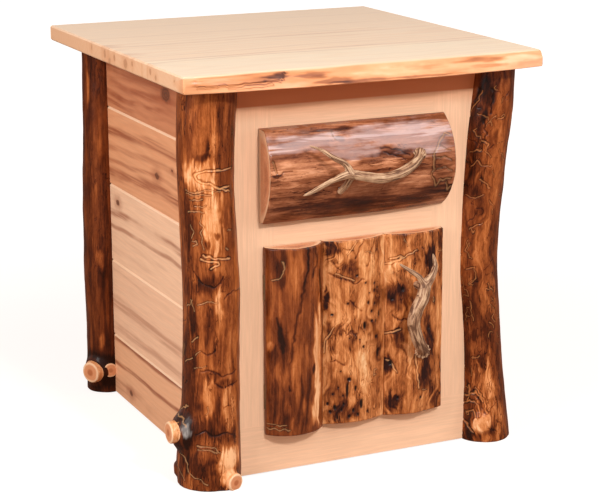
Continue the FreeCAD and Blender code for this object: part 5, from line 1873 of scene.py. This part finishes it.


# The first two patches darken the log's lower side along its whole length: painted shade
DRAWER_MARKS = Marks(
    seed=61, base=.44, restless=.16,
    patches=((434, 6, 20, 160, -.24), (447, 30, 16, 130, -.12), (460, -115, 12, 55, -.08),
        (498, -111, 22, 52, .16), (484, -80, 8, 40, -.1), (557, -41, 4, 30, -.34),
        (543, -45, 5, 8, -.34), (513, 49, 6, 28, -.24), (506, -27, 5, 14, .22),
        (497, 21, 9, 42, .12), (492, 74, 10, 25, -.22), (475, 89, 5, 22, .16),
        (476, 132, 27, 18, -.14), (495, -153, 5, 8, -.2), (488, 10, 4, 50, -.16),
        (503, -6, 3, 30, -.14), (462, 60, 3, 60, .1), (540, 20, 4, 60, -.1)),
    # Painted highlight along the log's upper side
    painted_highlight=((540, -93, 13, 76, .66), (538, 63, 22, 96, .66), (521, -29, 12, 30, .5),
        (528, 113, 21, 34, .44), (528, 0, 5, 7, .6)),
    galleries=(*lines(1.6, 1.5, (503, 116, 510, 120, 526, 131, 536, 144, 534, 151), (504, 116, 488,
        117, 472, 114, 452, 125, 462, 132, 462, 149), (457, 142, 442, 150, 449, 153),
        (518, -161, 509, -157, 501, -155), pale=.5), *lines(1.1, 1.2,
        (499, 121, 500, 135, 494, 148), (481, 123, 483, 137, 475, 150),
        (517, 130, 513, 138, 509, 149), (553, -55, 547, -53, 542, -50), pale=.3), *lines(1.6, .8,
        (524, 24, 522, 41, 517, 58, 508, 75), (516, 30, 510, 48, 504, 66), (496, -163, 492, -153,
        500, -143, 500, -130), pale=0)))

LEFT_DOOR_MARKS = Marks(
    seed=67, base=.39, restless=.16, swirl=8,
    patches=((-136, 365, 5, 18, -.22), (-144, 339, 5, 14, -.22), (-139, 321, 6, 10, -.2),
        (-155, 216, 5, 8, .24), (-152, 195, 7, 20, -.26), (-138, 221, 8, 39, -.2),
        (-76, 200, 10, 80, .48), (-78, 121, 10, 36, .44), (-86, 173, 5, 7, -.4),
        (-120, 120, 46, 40, -.2), (-132, 115, 6, 14, .18), (-103, 117, 5, 12, .18),
        (-113, 170, 17, 46, .1), (-157, 292, 7, 26, -.12), (-119, 350, 13, 34, .12),
        (-150, 300, 10, 20, .06)),
    galleries=(*lines(1, .4, (-140, 355, -137, 339, -143, 328, -151, 324),
        (-162, 88, -150, 87, -132, 85), (-163, 81, -148, 79, -129, 78), pale=.6), *lines(3.2, .4,
        (-96, 374, -96, 347, -106, 308, -113, 277, -121, 245, -126, 212, -129, 180, -129, 147),
        (-83, 373, -78, 351, -88, 327), (-73, 333, -70, 283), (-147, 264, -142, 237, -137, 209),
        pale=0)))

MIDDLE_DOOR_MARKS = Marks(
    seed=71, base=.58, restless=.28, scribbles=6, swirl=26,
    patches=((-46, 361, 14, 18, -.5), (-17, 331, 13, 10, -.22), (-56, 275, 5, 22, -.6),
        (-41, 229, 20, 12, -.36), (-50, 207, 10, 15, -.34), (-3, 227, 18, 17, -.12),
        (-28, 279, 22, 20, .1), (1, 159, 23, 36, .16), (-42, 116, 18, 27, -.14),
        (36, 219, 7, 101, -.16), (-36, 350, 6, 8, .3), (-8, 359, 14, 13, .14),
        (-48, 170, 9, 20, -.14), (-16, 203, 14, 10, -.12), (-24, 92, 24, 16, -.2),
        (20, 330, 14, 20, .08)),
    pits=((8, 303, 2, 2), (25, 300, 2, 2), (25, 288, 2, 2), (14, 269, 2.2, 4), (27, 266, 2, 4),
        (21, 254, 2.4, 3), (21, 238, 2.8, 2), (7, 232, 3.4, 8), (30, 210, 2, 3), (35, 182, 2.4, 9),
        (5, 197, 2.4, 3), (-23, 128, 3, 16), (-20, 145, 4.5, 4), (-9, 129, 2, 6), (2, 101, 3.2, 9),
        (-43, 99, 3, 5), (-19, 82, 2.6, 4), (-23, 272, 2.6, 2.4), (-48, 255, 3, 2.6),
        (-54, 106, 2, 3), (-29, 104, 2, 2.6), (-8, 317, 2.6, 2.6), (36, 247, 1.6, 5),
        (-32, 95, 2, 4), (-39, 82, 2.2, 6), (-50, 92, 2, 3), (-46, 122, 1.6, 2), (-38, 132, 1.6, 2),
        (-30, 118, 1.6, 2), (-12, 92, 2, 4), (-4, 84, 2, 3), (14, 86, 1.6, 3), (31, 292, 1.6, 2),
        (16, 285, 1.4, 1.6), (30, 236, 1.6, 3), (-10, 218, 1.6, 1.6), (-20, 214, 1.6, 1.6),
        (-2, 210, 1.4, 1.6), (-34, 160, 1.6, 1.6)),
    galleries=(*lines(1.7, .9, (-54, 324, -43, 317, -28, 313, -12, 304, 6, 310),
        (-48, 342, -42, 335, -36, 329), (-10, 346, -3, 362, 4, 374), (-26, 221, -17, 225, -6, 220),
        (-51, 177, -42, 180, -29, 169), (-20, 278, -13, 266, 1, 259), (10, 330, 16, 350, 24, 368),
        (26, 340, 30, 360), pale=0), *lines(.9, .5, (-24, 352, -15, 366, -10, 376),
        (-61, 193, -56, 217, -46, 233), (-44, 322, -30, 318, -14, 310))))

RIGHT_DOOR_MARKS = Marks(
    seed=79, base=.45, restless=.3, scribbles=10, swirl=20,
    patches=((63, 283, 12, 14, -.32), (72, 266, 18, 18, -.24), (69, 199, 9, 16, -.32),
        (55, 155, 9, 16, -.4), (61, 93, 12, 17, -.42), (57, 316, 12, 23, .16),
        (89, 130, 17, 34, .12), (66, 340, 16, 26, .14), (100, 230, 20, 16, -.22),
        (118, 180, 12, 40, -.22), (90, 190, 8, 40, .2), (146, 360, 8, 26, -.4),
        (128, 330, 10, 22, -.4), (120, 130, 12, 26, -.3), (146, 240, 6, 60, .16),
        (112, 300, 30, 20, .1), (98, 340, 14, 20, -.16), (140, 100, 12, 20, -.24),
        (132, 270, 12, 16, -.24)),
    pits=((60, 268, 2, 3), (70, 100, 2.4, 3), (76, 284, 3, 4), (58, 160, 3, 5), (126, 214, 2, 4),
        (110, 96, 2, 3)),
    galleries=(*lines(1.2, .8, (50, 326, 62, 329, 77, 336), (50, 211, 60, 212, 72, 217),
        (52, 165, 61, 156, 67, 144), (100, 170, 102, 140, 106, 112), (58, 334, 76, 337, 100, 346)),
        *lines(2, .9, (60, 240, 74, 232, 92, 236), (110, 350, 118, 336, 120, 318),
        (80, 180, 86, 160, 84, 140), (130, 200, 136, 186, 134, 166), pale=0)))


@dataclass
class Drawer:
    """The drawer: the half log on its front, the antler pull and the box behind."""

    effects: Effects
    antler: bpy.types.Material
    log_levels: Sequence[Row] = (
        (0, .99, .6, 1), (.25, .95, .6, .95), (.5, .97, .5, .85), (.75, .98, .4, .65),
        (.92, 1, .2, .4), (1, .97, .1, .2))
    pull_branches: Sequence[Sequence[Row]] = (
        ((.455, .105, 0, .85), (.4, .075, .42, .9), (.336, .051, .7, .95), (.184, -.002, .95, 1),
        (.03, -.02, 1, 1), (-.13, .012, .97, .95), (-.239, .032, .9, .9), (-.351, 0, .82, .55),
        (-.455, -.053, .64, .46), (-.534, -.097, .48, .36), (-.592, -.12, .38, .2)),
        ((-.215, .03, .92, .8), (-.262, .108, .84, .62), (-.364, .173, .68, .5),
        (-.44, .228, .5, .36), (-.533, .266, .36, .18)), ((-.215, .01, .88, .66),
        (-.225, -.07, .42, .62), (-.24, -.14, -.1, .58)))

    def build(self) -> None:
        """Makes the log and the pull, and dresses the box."""
        effects, antler = self.effects, self.antler
        # The drawer log's painted highlight is a pale lilac grey
        stain = LogFinish("drawer_log_stain", lying=True, contrast=0.26, coat=0.3,
                          highlight_colour=tint(218, 196, 194),
                          stops=((0.00, tint(48, 18, 10)), (0.22, tint(94, 44, 22)),
                                 (0.44, tint(150, 88, 56)), (0.62, tint(198, 132, 94)),
                                 (0.80, tint(228, 168, 130)), (1.00, tint(246, 206, 172))))
        HalfLog("drawer_half_log", "drawer_log_front", "drawer", 414.0, 563.0, -165.0, 323.0, 22.0,
                46.0, self.log_levels, DRAWER_MARKS, upright=False, sawn=0.55, rows=280,
                columns=130, relief=0.8).build(stain.build(effects))
        Antler("drawer", 488.0, 200.0, 8.0, 9.5, 48.0, 88.0, self.pull_branches, 5,
               0.34).build(antler)
        dress_boards(PineFinish(
            "birch", Grain.ALONG_X, tint(236, 212, 172), tint(224, 190, 144), tint(196, 150, 104),
            0.2, 0.58, (0.05, 0.16, 0.3), 0.006, 0.03, 0.35, roughness=0.44, coat=0.15), effects, {
                Grain.ALONG_X: ("drawer_box_front", "drawer_back"),
                Grain.ALONG_Y: ("drawer_side_left", "drawer_side_right", "drawer_bottom")})
        log.info("drawer: dressed")


@dataclass
class Door:
    """The door: three upright half logs on battens, with an antler pull."""

    effects: Effects
    antler: bpy.types.Material
    log_levels: Sequence[Row] = (
        (0, .86, 1, 1), (.33, .97, 1, 1), (.66, 1, 1, 1), (1, .98, 1, 1))
    pull_branches: Sequence[Sequence[Row]] = (
        ((.69, -.273, 0, 1.05), (.65, -.22, .42, .98), (.59, -.15, .72, .98),
        (.528, -.038, .95, 1.02), (.49, .099, 1, 1.06), (.522, .227, 1, 1.06),
        (.589, .348, .98, 1.04), (.635, .48, .9, .92), (.704, .548, .84, .62),
        (.758, .646, .68, .44), (.748, .769, .5, .16)), ((.62, .44, .9, .7), (.56, .56, .84, .46),
        (.48, .622, .74, .36), (.369, .7, .52, .18)), ((.625, .44, .85, .7), (.622, .438, .4, .66),
        (.62, .436, -.12, .62)))

    def build(self) -> None:
        """Makes the three logs and the pull, and dresses the battens."""
        effects, antler = self.effects, self.antler
        dark = LogFinish("left_door_stain", contrast=0.24, fleck=0.18, vein=0.08, roughness=0.30,
                         coat=0.3).build(effects)
        figured = LogFinish("figured_door_stain", contrast=0.36, coat=0.2, fleck=0.56,
                            stops=((0.00, tint(42, 16, 12)), (0.20, tint(96, 44, 20)),
                                   (0.40, tint(156, 86, 42)), (0.60, tint(204, 128, 74)),
                                   (0.80, tint(232, 164, 108)), (1.00, tint(248, 202, 152)))
                            ).build(effects)
        for side, stain, sizes, marks, relief, hinges in (
                ("left", dark, (-159.0, -61.0, 67.5, 307.5, 9.0, 36.0), LEFT_DOOR_MARKS, 0.6,
                 ((109.5, 150.5), (289.5, 330.5))),
                ("middle", figured, (-61.0, 49.0, 70.5, 304.5, 9.0, 25.0), MIDDLE_DOOR_MARKS, 1.1,
                 ()),
                ("right", figured, (49.0, 155.0, 70.0, 305.0, 9.0, 26.0), RIGHT_DOOR_MARKS, 1.3,
                 ())):
            HalfLog("door_half_log_" + side, "door_log_" + side, "door", *sizes, self.log_levels,
                    marks, relief=relief, hinges=hinges).build(stain)
        Antler("door", 220.0, 160.0, 10.0, 12.5, 28.0, 67.0, self.pull_branches, 9,
               0.46).build(antler)
        for node in ("door_batten_low", "door_batten_high"):
            dress(node, PineFinish(
                node + "_pine", Grain.ALONG_X, tint(228, 190, 146), tint(212, 166, 118),
                tint(172, 114, 72), 0.3, 0.55, (0.2, 0.12, 0.2), 0.01, 0.05, 0.4, roughness=0.6,
                coat=0.0).build(effects))
        log.info("door: dressed")


@dataclass
class Studio:
    """The camera of the photograph, soft lights and a pale floor.

    The camera's columns point right, up and back, and the last is its place. Each lamp is a
    place, a width and a power in watts, and all of them face the target.
    """

    camera: Sequence[Row] = ((0.9059662, 0.10101324, -0.41112232, -1.2864),
                             (-0.42334008, 0.20950814, -0.88141336, -2.8125),
                             (-0.00290095, 0.97257527, 0.23257025, 1.0972), (0, 0, 0, 1))
    lens: float = 111.63
    shift: tuple[float, float] = (-0.0059, -0.0597)
    lamps: Sequence[tuple] = (
        ((0.05, -2.95, 2.20), 0.27, 56.0), ((-2.60, -1.00, 1.60), 1.5, 70.0),
        ((0.25, -1.75, 2.35), 1.2, 18.0), ((2.30, -1.70, 1.30), 1.2, 20.0))
    target: Row = (0.0, -0.1, 0.3)
    daylight: float = 0.22
    bounce: Colour = tint(255, 226, 204)
    white: Colour = (1.0, 1.0, 1.0)

    def build(self) -> None:
        """Sets the camera, the lamps, the world and the floor."""
        scene = bpy.context.scene
        scene.view_settings.view_transform = "Standard"
        camera = bpy.data.cameras.new("camera")
        camera.lens = self.lens
        camera.sensor_width = 36.0
        camera.shift_x, camera.shift_y = self.shift
        camera.clip_end = 50.0
        scene.camera = bpy.data.objects.new("camera", camera)
        scene.camera.matrix_world = Matrix(self.camera)
        scene.collection.objects.link(scene.camera)
        for number, (place, width, power) in enumerate(self.lamps, 1):
            lamp = bpy.data.lights.new(f"softbox_{number}", "AREA")
            lamp.shape = "SQUARE"
            lamp.size = width
            lamp.energy = power
            holder = bpy.data.objects.new(lamp.name, lamp)
            holder.location = place
            aim = Vector(self.target) - holder.location
            holder.rotation_euler = aim.to_track_quat("-Z", "Y").to_euler()
            scene.collection.objects.link(holder)
        self.world()
        self.floor()
        log.info("studio: %d lamps", len(self.lamps))

    def world(self) -> None:
        """White to the camera, in gloss and through glass, and a soft even light otherwise."""
        world = bpy.data.worlds.new("studio")
        bpy.context.scene.world = world
        world.use_nodes = True
        n = Nodes(world.node_tree)
        path = n.add("ShaderNodeLightPath").outputs
        seen = n.math("MAXIMUM", path["Is Camera Ray"], n.math(
            "MAXIMUM", path["Is Glossy Ray"], path["Is Transmission Ray"]))
        strength = n.math("MULTIPLY_ADD", seen, 1.0 - self.daylight, self.daylight)
        background = world.node_tree.nodes["Background"].inputs
        n.tree.links.new(n.mix(seen, self.bounce, self.white), background["Color"])
        n.tree.links.new(strength, background["Strength"])

    def floor(self) -> None:
        """A wide pale floor that shows white and keeps a soft shadow."""
        mesh = bpy.data.meshes.new("floor")
        reach = 12.0
        mesh.from_pydata([(-reach, -reach, 0.0), (reach, -reach, 0.0), (reach, reach, 0.0),
                          (-reach, reach, 0.0)], [], [(0, 1, 2, 3)])
        floor = bpy.data.objects.new("floor", mesh)
        floor.location.z = -0.0006
        bpy.context.scene.collection.objects.link(floor)
        material, n, surface = shader("pale_floor")
        joined(material, surface, {}, {"Roughness": 0.9, "Specular IOR Level": 0.1,
                                       "Base Color": (0.40, 0.32, 0.27, 1.0)})
        seen = n.add("ShaderNodeLightPath").outputs["Is Camera Ray"]
        x, y, _ = n.split(n.place())
        away = n.math("SQRT", n.plus(n.times(x, x), n.times(y, y)))
        glow = n.add("ShaderNodeEmission", {
            "Color": self.white, "Strength": n.times(seen, n.span(away, 0.5, 2.2, 0.80, 1.0))})
        both = n.add("ShaderNodeAddShader", {0: surface.outputs[0], 1: glow.outputs[0]})
        n.tree.links.new(both.outputs[0], n.tree.nodes["Material Output"].inputs["Surface"])
        mesh.materials.append(material)


def main() -> None:
    """Builds the parts in order and reports each."""
    logging.basicConfig(level=logging.INFO, format="%(message)s")
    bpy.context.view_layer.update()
    effects = Effects()
    antler = AntlerFinish("shed_antler").build()
    for part in (Studio(), Top(effects), Carcass(effects), Posts(effects),
                 Drawer(effects, antler), Door(effects, antler), Hardware()):
        part.build()


if __name__ == "__main__":
    main()
